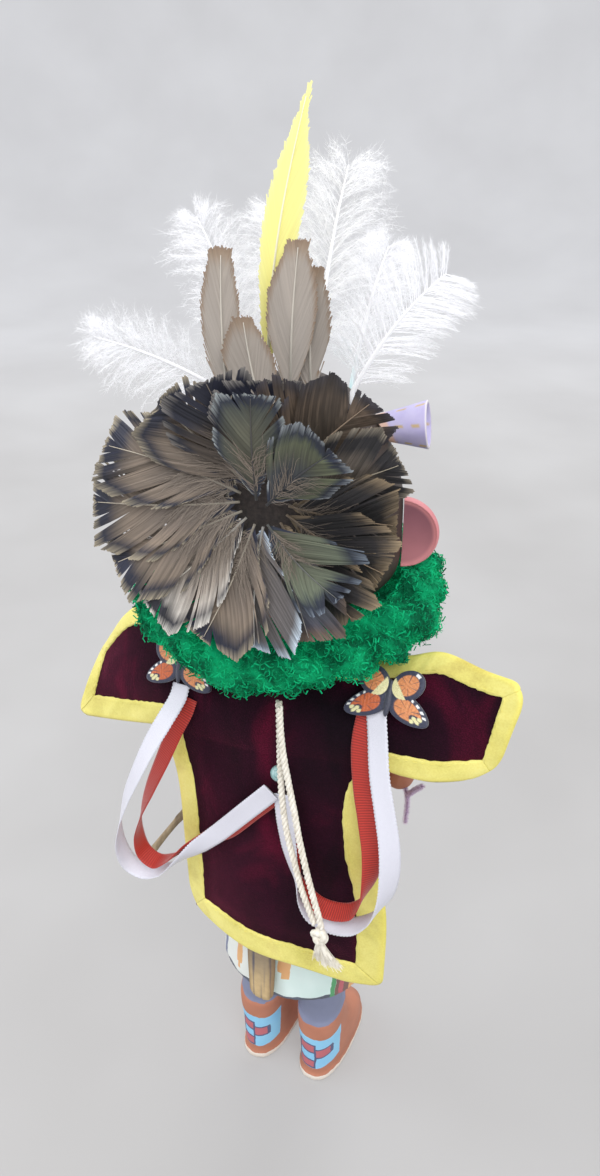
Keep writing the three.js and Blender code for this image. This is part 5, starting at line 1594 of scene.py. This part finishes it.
def makePlume(name, facts, finish, rng):
    (x0, y0), tip = facts["base"], np.array(facts["tip"], float)
    top = headTop(x0, y0)
    start = np.array((x0, y0, top + 4.0))
    middle = np.array((x0 + 0.45 * (tip[0] - x0), y0, (top + 8) * 0.38 + tip[2] * 0.62))
    spiky = facts["spiky"]
    t = np.linspace(0, 1, 40)[:, None]
    quill = (1 - t) ** 2 * start + 2 * t * (1 - t) * middle + t**2 * tip
    length = alongPath(quill)[-1]
    foot = np.vstack([[x0, y0, top - 4.6], quill])
    parts = [(sweep(foot, np.linspace(0.8, 0.2, 41), 7), gridFaces(41, 7, True, True))]
    tangent = unit(np.gradient(quill, axis=0))
    count = 330 if spiky else 260
    u = np.sort(rng.uniform(0.03, 1, count) ** 0.85)
    root = np.stack([np.interp(u, t[:, 0], quill[:, k]) for k in range(3)], 1)
    way = np.stack([np.interp(u, t[:, 0], tangent[:, k]) for k in range(3)], 1)
    side = unit(np.stack([way[:, 2], 0 * u, -way[:, 0]], 1)) * rng.choice([-1, 1], count)[:, None]
    depth = np.array((0, 1.0, 0)) * rng.normal(0, 0.30, count)[:, None]
    out = unit(side + depth)
    fluff = np.sin(math.pi * (0.06 + u * 0.90) ** 0.8)
    far = facts["width"] / 2 * (0.35 + fluff) * rng.uniform(0.7, 1.3, count) * (1.25 if spiky else 1.45)
    far = np.minimum(far, 0.42 * length)
    steps = 10
    s = np.linspace(0, 1, steps)
    lean = rng.uniform(0.75, 1.05, count) if spiky else rng.uniform(0.35, 1.1, count)
    forward = way[:, None] * (s * (1 - 0.25 * s))[None, :, None] * (far * np.cos(lean))[:, None, None]
    outward3 = out[:, None] * (s * (1 - 0.12 * s))[None, :, None] * (far * np.sin(lean))[:, None, None]
    wave = 0.0 if spiky else 0.5
    wiggle = rng.normal(0, 1, (count, 1, 3)) * np.sin(s * 5)[None, :, None] * wave * s[None, :, None]
    droop = (0, 0, -1.0) * (s**2)[None, :, None] * (far * (0.03 if spiky else 0.12))[:, None, None]
    lines = root[:, None] + forward + outward3 + wiggle + droop
    facing = np.tile((0.45, 0.85, 0.3), (count, steps, 1)) + rng.normal(0, 0.4, (count, 1, 3))
    thick = 0.16 if spiky else 0.09
    parts.append(ribbonsOf(lines, thick * np.linspace(1, 0.35, steps) * np.ones((count, 1)), facing))
    hairs = 28 if spiky else 30
    where = rng.uniform(0.08, 1, (count, hairs)) ** 0.9 * (steps - 1)
    cell = np.minimum(where.astype(int), steps - 2)
    part = (where - cell)[..., None]
    rows = np.arange(count)[:, None]
    base = lines[rows, cell] * (1 - part) + lines[rows, cell + 1] * part
    along = unit(lines[rows, cell + 1] - lines[rows, cell])
    stray = unit(rng.normal(0, 1, base.shape))
    size = rng.uniform(0.9, 2.4 if spiky else 3.4, (count, hairs, 1))
    end = base + (along * (0.9 if spiky else 0.55) + stray * (0.35 if spiky else 0.8)) * size
    hair = np.stack([base, (base + end) / 2 + stray * 0.15, end], 2).reshape(-1, 3, 3)
    hairFacing = np.tile((0.45, 0.85, 0.3), (len(hair), 3, 1)) + rng.normal(0, 0.5, (len(hair), 1, 3))
    parts.append(ribbonsOf(hair, 0.05 * np.array((1, 0.8, 0.4)) * np.ones((len(hair), 1)), hairFacing))
    points, faces = joinParts(parts)
    made = addPiece(name + "_down", onHead(points), faces, finish)
    settle(made, "white_down", name)


downFinish = plumeFinish()
for plumeIndex, (plumeName, plumeOne) in enumerate(plumeFacts.items()):
    makePlume(plumeName, plumeOne, downFinish, np.random.default_rng(300 + plumeIndex))
print("plumes made")

# Ruff: a lumpy ring under thousands of curled wool fibres

ruffFacts = {
    "outer": 53.0, "inner": 20.14, "rise": 9.0, "hang": 14.0, "rearDrop": 8.0, "aside": 3.0, "lump": 1.9,
    "rows": 132, "sides": 48,
    "density": 9.8e5, "curlSize": 1.25, "fibre": 0.33,
}


def woolFinish():
    finish, tree, shader = newFinish("green wool", 1.0, Sheen_Weight=0.2, Sheen_Roughness=0.7)
    shader.inputs["Sheen Tint"].default_value = (0.05, 0.6, 0.3, 1)
    shader.inputs["Specular IOR Level"].default_value = 0.1
    strand = readField(tree, "strand")
    # the wool's own tone varies in clumps, and the dark end is painted shade for the pits between tufts
    clump = noiseOf(tree, 125.0, 4.0, distortion=0.5)
    both = math2(tree, "ADD", math2(tree, "MULTIPLY", strand, 0.3), math2(tree, "MULTIPLY", clump, 0.75))
    stops = [(0.34, tone(2, 78, 50)), (0.5, tone(6, 142, 92)), (0.72, tone(20, 178, 118))]
    colour = ramp(tree, both, stops)
    setColour(tree, shader, colour)
    # painted glow, standing in for light that scatters among the fibres
    tree.links.new(colour, shader.inputs["Emission Color"])
    shader.inputs["Emission Strength"].default_value = 0.12
    return finish


def ruffPoint(angle, turn, facts, rng):
    back = np.maximum(0, np.sin(angle))
    outer = facts["outer"] - 4.5 * back
    middle, half = (facts["inner"] + outer) / 2, (outer - facts["inner"]) / 2
    lumps = np.zeros_like(angle)
    for _ in range(14):
        k, j = rng.integers(5, 34), rng.integers(1, 7)
        lumps = lumps + np.sin(k * angle + j * turn + rng.uniform(0, 6)) / 3.7
    push = facts["lump"] * lumps
    sine = np.sin(turn)
    high = np.where(sine > 0, facts["rise"], facts["hang"]) * (1 - 0.2 * back)
    radius = middle + (half - 1.0 + push) * np.cos(turn)
    bulge = (high - 1.0 + push) * np.sign(sine) * np.abs(sine) ** 0.75
    z = headBaseZ - 1 - facts["rearDrop"] * back**1.5 + bulge
    x, y = radius * np.cos(angle) + facts["aside"], radius * np.sin(angle)
    z = np.where(np.hypot(x, y) < headRadius + 1.6, np.minimum(z, headBaseZ - 2.5), z)
    return np.stack([x, y + headBack, z], -1)


def woolTree(finish):
    tree, given, out = newTree("wool curls", [("Density", "Float", 1e6), ("Curl Size", "Float", 0.0015),
                                              ("Fibre", "Float", 0.0003), ("Seed", "Int", 1)])
    scatter = addNode(tree, "GeometryNodeDistributePointsOnFaces", {"Mesh": given["Geometry"],
                      "Density": given["Density"], "Seed": given["Seed"]})
    half = math2(tree, "MULTIPLY", given["Curl Size"], 0.5)
    high = math2(tree, "MULTIPLY", given["Curl Size"], 1.3)
    curl = addNode(tree, "GeometryNodeCurveSpiral", {"Resolution": 6, "Rotations": 0.72,
                   "Start Radius": half, "End Radius": given["Curl Size"], "Height": high})
    edge = addNode(tree, "GeometryNodeCurvePrimitiveLine")
    tree.links.new(
        addNode(tree, "ShaderNodeCombineXYZ", {"X": given["Fibre"]}).outputs[0], edge.inputs["End"]
    )
    strip = addNode(
        tree, "GeometryNodeCurveToMesh", {"Curve": curl.outputs[0], "Profile Curve": edge.outputs[0]}
    )
    turnAll = addNode(tree, "FunctionNodeRandomValue", {"Seed": 3}, data_type="FLOAT_VECTOR")
    turnAll.inputs["Max"].default_value = (6.28, 6.28, 6.28)
    size = addNode(tree, "FunctionNodeRandomValue", {"Seed": 4}, data_type="FLOAT")
    size.inputs[2].default_value, size.inputs[3].default_value = 0.6, 1.5
    placed = addNode(tree, "GeometryNodeInstanceOnPoints", {"Points": scatter.outputs["Points"],
                     "Instance": strip.outputs[0], "Rotation": turnAll.outputs[0], "Scale": size.outputs[1]})
    return endTree(tree, out, keepShade(tree, placed.outputs[0]), finish, given["Geometry"])


def makeRuff(facts, finish):
    rows, sides = facts["rows"], facts["sides"]
    angle = np.repeat(np.linspace(0, 2 * math.pi, rows, endpoint=False), sides)
    turn = np.tile(np.linspace(0, 2 * math.pi, sides, endpoint=False), rows)
    points = ruffPoint(angle, turn, facts, np.random.default_rng(5))
    faces = []
    for r in range(rows):
        for k in range(sides):
            a, b = r * sides + k, r * sides + (k + 1) % sides
            far = (r + 1) % rows * sides
            faces.append((a, far + k, far + (k + 1) % sides, b))
    host = addPiece("ruff_base", inFrame(points), faces, finish, {"strand": np.full(len(points), 0.15)})
    outward(host)
    tree = woolTree(finish)
    values = {
        "Density": facts["density"], "Curl Size": facts["curlSize"] * mm, "Fibre": facts["fibre"] * mm,
        "Seed": 8
    }
    made = runTree(host, tree, values, "ruff_wool", finish)
    dropHelpers(host)
    settle(made, "green_wool", "ruff")
    print("ruff", len(made.data.polygons), "faces")


makeRuff(ruffFacts, woolFinish())

# Fox tail, ears and blossom: carved pieces with their colour painted by place


def makeFoxTail(facts, finish):
    rows, sides = 110, 60
    share = np.linspace(0, 1, rows)
    turn = np.linspace(0, 2 * math.pi, sides, endpoint=False)
    bottom = hemZ + facts["aboveHem"]
    half = facts["width"] / 2 * (0.78 + 0.3 * np.sin(math.pi * (0.12 + share * 0.7)))
    end = 1 - 0.22 * (1 - smoothstep(0, 0.05, share)) - 0.25 * smoothstep(0.94, 1, share)
    c, n = np.cos(turn), np.sin(turn)
    power = 2 / 2.6
    x = facts["aside"] + np.outer(half * end, np.sign(c) * np.abs(c) ** power)
    rear = figureFacts["kiltDepth"] * (1 - 0.07 * share) + 0.35 + facts["thickness"] / 2
    y = rear[:, None] + facts["thickness"] / 2 * end[:, None] * (np.sign(n) * np.abs(n) ** power)[None]
    z = np.repeat((bottom + facts["length"] * share)[:, None], sides, 1)
    grain = np.zeros_like(x)
    rng = np.random.default_rng(31)
    for k in range(9):
        pitch, drift = rng.uniform(1.2, 5.5), rng.uniform(0, 6)
        grain += np.sin(x * pitch + 0.5 * np.sin(z / rng.uniform(6, 15) + drift) + drift) / 5
    deep = np.clip(grain, -0.9, 0.9) * 0.26
    y = y + np.where(n > 0, 1, 0)[None] * (deep - 0.25) * np.clip(n, 0, 1)[None]
    points = np.stack([x, y, z], -1)
    low = smoothstep(hemZ + 26, hemZ + 8, z)[..., None]
    tint = np.array(tone(150, 134, 110)) * (1 - low) + np.array(tone(198, 172, 128)) * low
    streak = smoothstep(-0.15, -0.75, grain)[..., None] * (1 - 0.45 * low)
    tint = tint * (1 - streak) + np.array(tone(84, 84, 96)) * streak
    umber = smoothstep(0.55, 1.0, np.abs(x - facts["aside"]) / half[:, None])[..., None] * 0.7
    tint = tint * (1 - umber) + np.array(tone(128, 100, 68)) * umber
    faces = gridFaces(rows, sides, True, True)
    made = addPiece("fox_tail_carved", inFrame(points), faces, finish, {"tint": withAlpha(tint)})
    outward(made)
    settle(made, "carved_tail", "fox_tail")


def makeEar(side, facts, finish):
    radius, thick = facts["radius"], facts["thickness"] / 2
    dish = np.linspace(0, 0.93, 22)
    rim = np.linspace(0, math.pi, 11)
    r = np.concatenate([radius * dish, radius * 0.955 + radius * 0.045 * np.sin(rim), radius * dish[::-1]])
    y = np.concatenate(
        [thick - facts["dish"] * (1 - dish**2) ** 0.8, thick * np.cos(rim) * 0.96, 0 * dish - thick]
    )
    turn = np.linspace(-math.pi / 2, math.pi / 2, 61)
    # each ear ends in a flat face just clear of the head
    reach = side * (headRadius + np.maximum(np.outer(np.cos(turn), r), facts["gap"]))
    z = headBaseZ + facts["height"] + np.outer(np.sin(turn), r)
    points = np.stack([reach, np.broadcast_to(y, reach.shape), z], -1)
    # painted highlight: the rim is lighter than the dish
    edge = smoothstep(0.80, 0.9, r / radius)[None, :, None] * np.ones((len(turn), 1, 1))
    # painted shade: the dish is darker towards its top and lighter below
    shade = smoothstep(14, -10, points[..., 2] - headBaseZ - facts["height"] + 4)[..., None]
    inner = np.array(tone(146, 92, 104)) * (1 - shade) + np.array(tone(190, 122, 128)) * shade
    tint = inner * (1 - edge) + np.array(tone(214, 138, 142)) * edge
    faces = gridFaces(len(turn), len(r), True, True)
    name = "ear_left" if side > 0 else "ear_right"
    made = addPiece(name + "_dished", onHead(points), faces, finish, {"tint": withAlpha(tint)})
    outward(made)
    settle(made, "pink_wood", name)


def makeBlossom(facts, finish):
    around, steps = 84, 40
    rise = math.radians(facts["rise"])
    way = np.array((-math.cos(rise), 0, math.sin(rise)))
    side, up = np.array((0, 1.0, 0)), np.array((math.sin(rise), 0, math.cos(rise)))
    heights, widths = [h for h, r in headProfile], [r for h, r in headProfile]
    atHead = headRadius * float(np.interp(facts["height"] / headHeight, heights, widths))
    start = np.array((-atHead + 5, -2, headBaseZ + facts["height"]))
    turn = np.linspace(0, 2 * math.pi, around, endpoint=False)
    spin = np.outer(np.cos(turn), side) + np.outer(np.sin(turn), up)
    # the foot follows the head's own curve
    footZ = start[2] + facts["neck"] * spin[:, 2]
    footHead = headRadius * np.interp((footZ - headBaseZ) / headHeight, heights, widths)
    foot = footHead - (atHead - 5) + 0.9
    share = np.linspace(0, 1, steps)[:, None]
    along = foot[None] + (facts["length"] - foot[None]) * share
    radius = facts["neck"] + (facts["mouth"] - facts["neck"]) * (along / facts["length"]) ** 1.15
    flute = 1 + 0.015 * np.cos(6 * turn)[None] * share
    outer = start + along[..., None] * way + (radius * flute)[..., None] * spin
    depth = np.linspace(1, 0.42, 20)[:, None]
    inRadius = facts["neck"] + (facts["mouth"] - facts["neck"]) * depth**1.15 - facts["wall"]
    inRadius = inRadius * (1 - 0.35 * (1 - depth))
    lip = start + (facts["length"] + 0.25) * way + (radius[-1] - facts["wall"] / 2)[None, :, None] * spin
    inner = start + (depth * facts["length"])[..., None] * way + inRadius[..., None] * spin
    points = np.concatenate([outer, lip, inner])
    rows = len(points)
    k = np.concatenate([share[:, 0], [1.0], depth[:, 0]])[:, None]
    lane = np.cos(6 * (turn - 0.25))[None]
    stroke = smoothstep(-0.25, 0.35, np.sin(k * 17 + 1.3 * np.sin(3 * turn)))
    dashes = smoothstep(0.80, 0.94, lane) * stroke * (k > 0.22)
    lilac = np.array(tone(184, 176, 216)) * np.ones((rows, around, 1))
    cloud = (0.5 + 0.5 * np.sin(k * 9 + 2 * np.sin(turn * 2)) * np.cos(3 * turn + k * 4))[..., None]
    lilac = lilac * (1 - 0.35 * cloud) + np.array(tone(204, 200, 224)) * 0.35 * cloud
    gold = np.array(tone(196, 168, 106))
    tint = lilac * (1 - 0.85 * dashes[..., None]) + gold * 0.85 * dashes[..., None]
    peach = smoothstep(0.24, 0.14, k)[..., None]
    tint = tint * (1 - peach) + np.array(tone(222, 186, 168)) * peach
    rim = (np.arange(rows) >= steps - 1)[:, None, None] & (np.arange(rows) <= steps)[:, None, None]
    tint = np.where(rim, np.array(tone(222, 216, 222)), tint)
    faces = gridFaces(rows, around, True, True)
    made = addPiece("blossom_flared", onHead(points), faces, finish, {"tint": withAlpha(tint)})
    outward(made)
    settle(made, "lavender_wood", "blossom")


makeFoxTail(
    {"length": 55.0, "width": 11.5, "thickness": 4.4, "aside": 3.0, "aboveHem": 1.5},
    tintedFinish("carved tail", 0.75, 420.0, 0.35),
)
pinkPaint = tintedFinish("pink paint", 0.6, 120.0, 0.12, 0.2)
for earSide in (1, -1):
    makeEar(earSide, {"radius": 12.0, "thickness": 3.4, "dish": 1.5, "height": 21.0, "gap": 0.35}, pinkPaint)
makeBlossom(
    {"length": 19.0, "neck": 3.4, "mouth": 7.4, "wall": 1.1, "height": 54.0, "rise": 7.0},
    tintedFinish("lavender paint", 0.6, 260.0, 0.2, 0.2),
)

# Embroidered butterflies: four padded wings and a body of satin stitch

butterflyFacts = {
    "butterfly_left": {"place": (34.9, 24.6, 221.7), "normal": (0.101, 0.901, 0.422), "turn": 8.0},
    "butterfly_right": {"place": (-42.6, 21.7, 231.2), "normal": (0.041, 0.807, 0.589), "turn": 6.0},
}
wingFacts = [
    {"at": (7.2, -3.4), "half": (7.5, 4.0), "turn": -26.0, "lift": 0.0, "upper": False},
    {"at": (5.7, 4.4), "half": (5.6, 4.6), "turn": 35.0, "lift": 0.18, "upper": True},
]


def wingSurface(facts, mirror, rng):
    rings, sectors = 24, 92
    turn = np.linspace(0, 2 * math.pi, sectors, endpoint=False)
    taper = 1 - (0.0 if facts["upper"] else 0.22) * np.cos(turn)
    outline = np.stack([facts["half"][0] * np.cos(turn), facts["half"][1] * taper * np.sin(turn)], -1)
    share = np.concatenate([np.linspace(0.01, 0.94, rings - 3), [0.98, 1.0, 1.0]])[:, None]
    flat = share[..., None] * outline[None]
    dome = 0.55 + 0.42 * np.sqrt(np.clip(1 - share**2, 0, 1))
    dome[-1] = -0.55
    thread = np.sin(turn * 46)[None] * 0.06 * (share > 0.72) * (share < 0.99)
    weave = np.sin(flat[..., 0] * 5.2 + flat[..., 1] * 2.1) * 0.05 * (share < 0.72)
    height = dome * np.ones((1, sectors)) + thread + weave + facts["lift"]
    height[-1] = facts["lift"] - 0.6
    u, v = flat[..., 0] / facts["half"][0], flat[..., 1] / facts["half"][1]
    rim = share * np.ones((1, sectors))
    tint = np.empty((len(share), sectors, 3))
    orange = np.array(tone(214, 138, 88)) if facts["upper"] or mirror > 0 else np.array(tone(196, 98, 54))
    spark = rng.normal(0, 0.10, (len(share), sectors, 1))
    tint[:] = orange
    tint *= 1 + spark
    ink = np.array(tone(48, 52, 74))
    vein = 0.8 * ((np.abs(np.sin(turn * 3.5 + 0.4)) < 0.14)[None] & (rim > 0.16))[..., None]
    tint = tint * (1 - vein) + ink * vein
    edge = smoothstep(0.66, 0.72, rim)[..., None]
    tint = tint * (1 - edge) + ink * (1 + spark) * edge
    if facts["upper"]:
        cream = ((u < -0.45) & (rim < 0.95))[..., None]
        tint = np.where(cream, np.array(tone(226, 218, 168)) * (1 + spark), tint)
        dash = (np.abs(turn - 0.3) < 0.22)[None] & (rim > 0.74) & (rim < 0.94)
    else:
        # outer edge carries white dashes, the trailing edge yellow spots
        beat = np.sin(turn * 15 + 0.6)[None]
        dash = (turn > 0.25)[None] & (turn < 1.75)[None] & (beat > -0.1) & (rim > 0.74) & (rim < 0.93)
        for spotAt in ((0.58, -0.28), (0.36, -0.46), (0.62, 0.02), (0.40, -0.18)):
            spot = np.hypot(u - spotAt[0], (v - spotAt[1]) * 0.8) < 0.115
            tint = np.where(spot[..., None], np.array(tone(226, 220, 168)), tint)
        amber = (tint[..., 0:1] > 0.3) & (tint[..., 2:3] < 0.3)
        gap = (np.hypot(u - 0.5, v + 0.24) < 0.34)[..., None] & amber
        tint = np.where(gap, ink, tint)
    tint = np.where(dash[..., None], np.array(tone(240, 240, 238)), tint)
    a = math.radians(facts["turn"])
    x = facts["at"][0] + flat[..., 0] * math.cos(a) - flat[..., 1] * math.sin(a)
    y = facts["at"][1] + flat[..., 0] * math.sin(a) + flat[..., 1] * math.cos(a)
    points = np.stack([x * mirror, y, height], -1)
    return (points, gridFaces(len(share), sectors, True, True)), tint


def makeButterfly(name, facts, finish):
    rng = np.random.default_rng(41)
    parts, tints = [], []
    for mirror in (1, -1):
        for wing in wingFacts:
            part, tint = wingSurface(wing, mirror, rng)
            parts.append(part)
            tints.append(tint.reshape(-1, 3))
    body, bodyFaces = blob((0, -0.5, 0.35), (1.25, 6.0, 0.9), rows=40, sides=24)
    ridge = 1 + 0.09 * np.sin(body[..., 1:2] * 5.5)
    parts.append((np.concatenate([body[..., :1] * ridge, body[..., 1:]], -1), bodyFaces))
    tints.append(np.tile(tone(58, 60, 76), (body.reshape(-1, 3).shape[0], 1)))
    points, faces = joinParts(parts)
    normal = unit(np.array(facts["normal"]))
    across = unit(np.cross((0, 0, 1.0), normal))
    up = np.cross(normal, across)
    a = math.radians(facts["turn"])
    x, y = points[:, :1], points[:, 1:2]
    u, v = x * math.cos(a) - y * math.sin(a), x * math.sin(a) + y * math.cos(a)
    placed = np.array(facts["place"]) + u * across + v * up + points[:, 2:] * normal
    made = addPiece(
        name + "_stitched", inFrame(placed), faces, finish, {"tint": withAlpha(np.concatenate(tints))}
    )
    outward(made)
    settle(made, "embroidery", name)


silkThread = tintedFinish("embroidery silk", 0.45, 1400.0, 0.5, 0.4, Sheen_Weight=0.3)
for butterflyName, butterflyOne in butterflyFacts.items():
    makeButterfly(butterflyName, butterflyOne, silkThread)


def makeBacking():
    finish, tree, shader = newFinish("backing felt", 0.95, Sheen_Weight=0.4)
    felt = noiseOf(tree, 900.0, 4.0)
    setColour(tree, shader, ramp(tree, felt, [(0.3, tone(44, 38, 36)), (0.7, tone(70, 60, 56))]))
    setBump(tree, shader, felt, 0.6, 0.0004)
    profile = [(0.01, 34.87), (14.4, 34.87), (15.0, 35.1), (15.0, 36.2), (14.4, 36.43), (0.01, 36.43)]
    turn = np.linspace(0, 2 * math.pi, 90, endpoint=False)
    hub = rosetteFacts["hubZ"]
    points = [[(r * math.cos(t), y, hub + r * math.sin(t)) for t in turn] for r, y in profile]
    made = addPiece(
        "rosette_backing_felt", onHead(np.array(points)), gridFaces(len(profile), 90, True, True), finish
    )
    outward(made)
    settle(made, "backing_felt", "rosette_backing")


def makeStick(facts):
    finish, tree, shader = newFinish("dry stick", 0.75)
    grain = noiseOf(tree, 260.0, 5.0, stretch=(1.0, 1.0, 0.2))
    setColour(
        tree, shader,
        ramp(tree, grain, [(0.3, tone(96, 82, 66)), (0.5, tone(142, 124, 98)), (0.75, tone(178, 160, 130))])
    )
    setBump(tree, shader, grain, 0.5, 0.0006)
    place = np.array(arms["left"][1], float)
    steps = 150
    far = np.linspace(-facts["up"], facts["down"], steps)
    run = far + facts["up"]
    centres = place + far[:, None] * stickWay
    centres = centres + 0.22 * np.stack([np.sin(run / 11), np.cos(run / 9), 0 * run], -1)
    knots = sum(np.exp(-((run - at) / 1.6) ** 2) for at in (14, 47, 71))
    radii = facts["diameter"] / 2 * (0.86 + 0.09 * np.sin(run / 7) + 0.12 * knots)
    radii[0], radii[-1] = radii[0] * 0.7, radii[-1] * 0.65
    rings = sweep(centres, radii, 26)
    turn = np.linspace(0, 2 * math.pi, 26, endpoint=False)
    bark = 1 + 0.05 * np.sin(5 * turn)[None] * np.sin(run / 4.1)[:, None] + 0.03 * np.sin(9 * turn + 1)[None]
    rings = centres[:, None] + (rings - centres[:, None]) * bark[..., None]
    made = addPiece("stick_dry", inFrame(rings), gridFaces(steps, 26, True, True), finish)
    outward(made)
    settle(made, "dry_stick", "stick")


makeBacking()
makeStick({"diameter": 3.6, "up": 34.0, "down": 62.0})

# Chenille sprig: wire cores with a pile of fibres set on them by nodes


def pileTree(finish):
    tree, given, out = newTree("chenille pile", [("Density", "Float", 1e6), ("Fibre Length", "Float", 0.001),
                                                 ("Fibre Width", "Float", 0.0001), ("Seed", "Int", 1)])
    scatter = addNode(tree, "GeometryNodeDistributePointsOnFaces", {"Mesh": given["Geometry"],
                      "Density": given["Density"], "Seed": given["Seed"]})
    fibre = addNode(tree, "GeometryNodeMeshCone", {"Vertices": 3, "Radius Top": 0.00002,
                    "Radius Bottom": given["Fibre Width"], "Depth": given["Fibre Length"]})
    lean = addNode(tree, "FunctionNodeRandomValue", {"Seed": 6}, data_type="FLOAT_VECTOR")
    lean.inputs["Min"].default_value, lean.inputs["Max"].default_value = (-0.5, -0.5, 0), (0.5, 0.5, 6.28)
    size = addNode(tree, "FunctionNodeRandomValue", {"Seed": 7}, data_type="FLOAT")
    size.inputs[2].default_value, size.inputs[3].default_value = 0.75, 1.05
    placed = addNode(tree, "GeometryNodeInstanceOnPoints", {"Points": scatter.outputs["Points"],
                     "Instance": fibre.outputs[0], "Rotation": scatter.outputs["Rotation"],
                     "Scale": size.outputs[1]})
    leaning = addNode(
        tree, "GeometryNodeRotateInstances", {"Instances": placed.outputs[0], "Rotation": lean.outputs[0]}
    )
    return endTree(tree, out, keepShade(tree, leaning.outputs[0]), finish, given["Geometry"])


def makeSprig(facts):
    finish, tree, shader = newFinish("lilac chenille", 0.8, Sheen_Weight=0.5)
    strand = readField(tree, "strand")
    setColour(
        tree, shader,
        ramp(
            tree, strand,
            [(0.05, tone(170, 142, 178)), (0.4, tone(212, 188, 218)), (0.9, tone(236, 220, 240))]
        )
    )
    grip = np.array(arms["right"][1], float)
    stem = grip + np.array([(5, -7, 21), (1.5, -2.5, 10), (0, 0, 0), (-5, 4, -6.5), (-6, 7, -17.5)], float)
    branch = grip + np.array([(-5, 4, -6.5), (-9, 8.5, 1), (-13, 11.5, 7)], float)
    parts = []
    for line, count in ((stem, 90), (branch, 36)):
        even, _ = evenSpline(line)
        parts.append(
            (sweep(even(np.linspace(0.01, 0.99, count)), facts["core"], 8), gridFaces(count, 8, True, True))
        )
    points, faces = joinParts(parts)
    host = addPiece("sprig_core", inFrame(points), faces, finish, {"strand": np.zeros(len(points))})
    outward(host)
    values = {
        "Density": facts["density"], "Fibre Length": facts["fibre"] * mm, "Fibre Width": 0.06 * mm,
        "Seed": 2
    }
    made = runTree(host, pileTree(finish), values, "sprig_pile", finish)
    dropHelpers(host)
    settle(made, "chenille", "chenille_sprig")
    print("sprig", len(made.data.polygons), "faces")


makeSprig({"core": 0.4, "fibre": 1.0, "density": 2.4e7})
print("small pieces made")

# Stage


stageFacts = {
    "floorRadius": 1.7, "bend": 0.9, "top": 2.6, "lookAt": (0, 0, 0.2),
    "lamps": {
        "key": {"place": (-0.7, 0.9, 1.5), "size": 1.3, "power": 22.0},
        "fill": {"place": (1.1, 0.5, 1.1), "size": 1.4, "power": 11.0},
        "rim": {"place": (0.2, -1.1, 1.2), "size": 1.2, "power": 8.0},
    },
}


def makeStage(facts):
    finish, tree, shader = newFinish("studio paper", 0.9)
    cloud = noiseOf(tree, 4.5, 3.0)
    setColour(tree, shader, ramp(tree, cloud, [(0.3, (0.24, 0.235, 0.232)), (0.7, (0.30, 0.297, 0.296))]))
    # the paper glows a little towards the back, where the lamps reach it less
    place = addNode(tree, "ShaderNodeTexCoord").outputs["Object"]
    far = addNode(tree, "ShaderNodeVectorMath", {0: place}, operation="LENGTH").outputs["Value"]
    share = math2(tree, "DIVIDE", far, facts["top"])
    glow = ramp(
        tree, share,
        [(0.08, (0.23, 0.226, 0.226)), (0.3, (0.25, 0.248, 0.25)), (0.62, (0.41, 0.415, 0.435))]
    )
    tree.links.new(glow, shader.inputs["Emission Color"])
    shader.inputs["Emission Strength"].default_value = 1.0
    sides = 96
    flat, bend, top = facts["floorRadius"], facts["bend"], facts["top"]
    arc = [(flat + bend * math.sin(a), bend - bend * math.cos(a)) for a in np.linspace(0, math.pi / 2, 14)]
    profile = [(0.00002, 0), (0.6, 0), (1.2, 0), *arc, (top, top)]
    turn = np.linspace(0, 2 * math.pi, sides, endpoint=False)
    points = [[(r * math.cos(t), r * math.sin(t), z) for t in turn] for r, z in profile]
    faces = [f[::-1] for f in gridFaces(len(profile), sides, True)]
    floor = addPiece("paper_sweep", np.array(points), faces, finish)
    world = bpy.data.worlds.new("soft room")
    bpy.context.scene.world = world
    world.use_nodes = True
    sky = world.node_tree.nodes["Background"]
    sky.inputs[0].default_value = (0.93, 0.96, 1.0, 1)
    sky.inputs[1].default_value = 0.75
    for name, one in facts["lamps"].items():
        lamp = bpy.data.lights.new(name, "AREA")
        lamp.energy, lamp.size, lamp.shape = one["power"], one["size"], "SQUARE"
        holder = bpy.data.objects.new(name, lamp)
        bpy.context.scene.collection.objects.link(holder)
        holder.location = one["place"]
        toDoll = Vector(facts["lookAt"]) - Vector(one["place"])
        holder.rotation_euler = toDoll.to_track_quat("-Z", "Y").to_euler()


makeStage(stageFacts)
bpy.context.scene.view_settings.view_transform = "Standard"
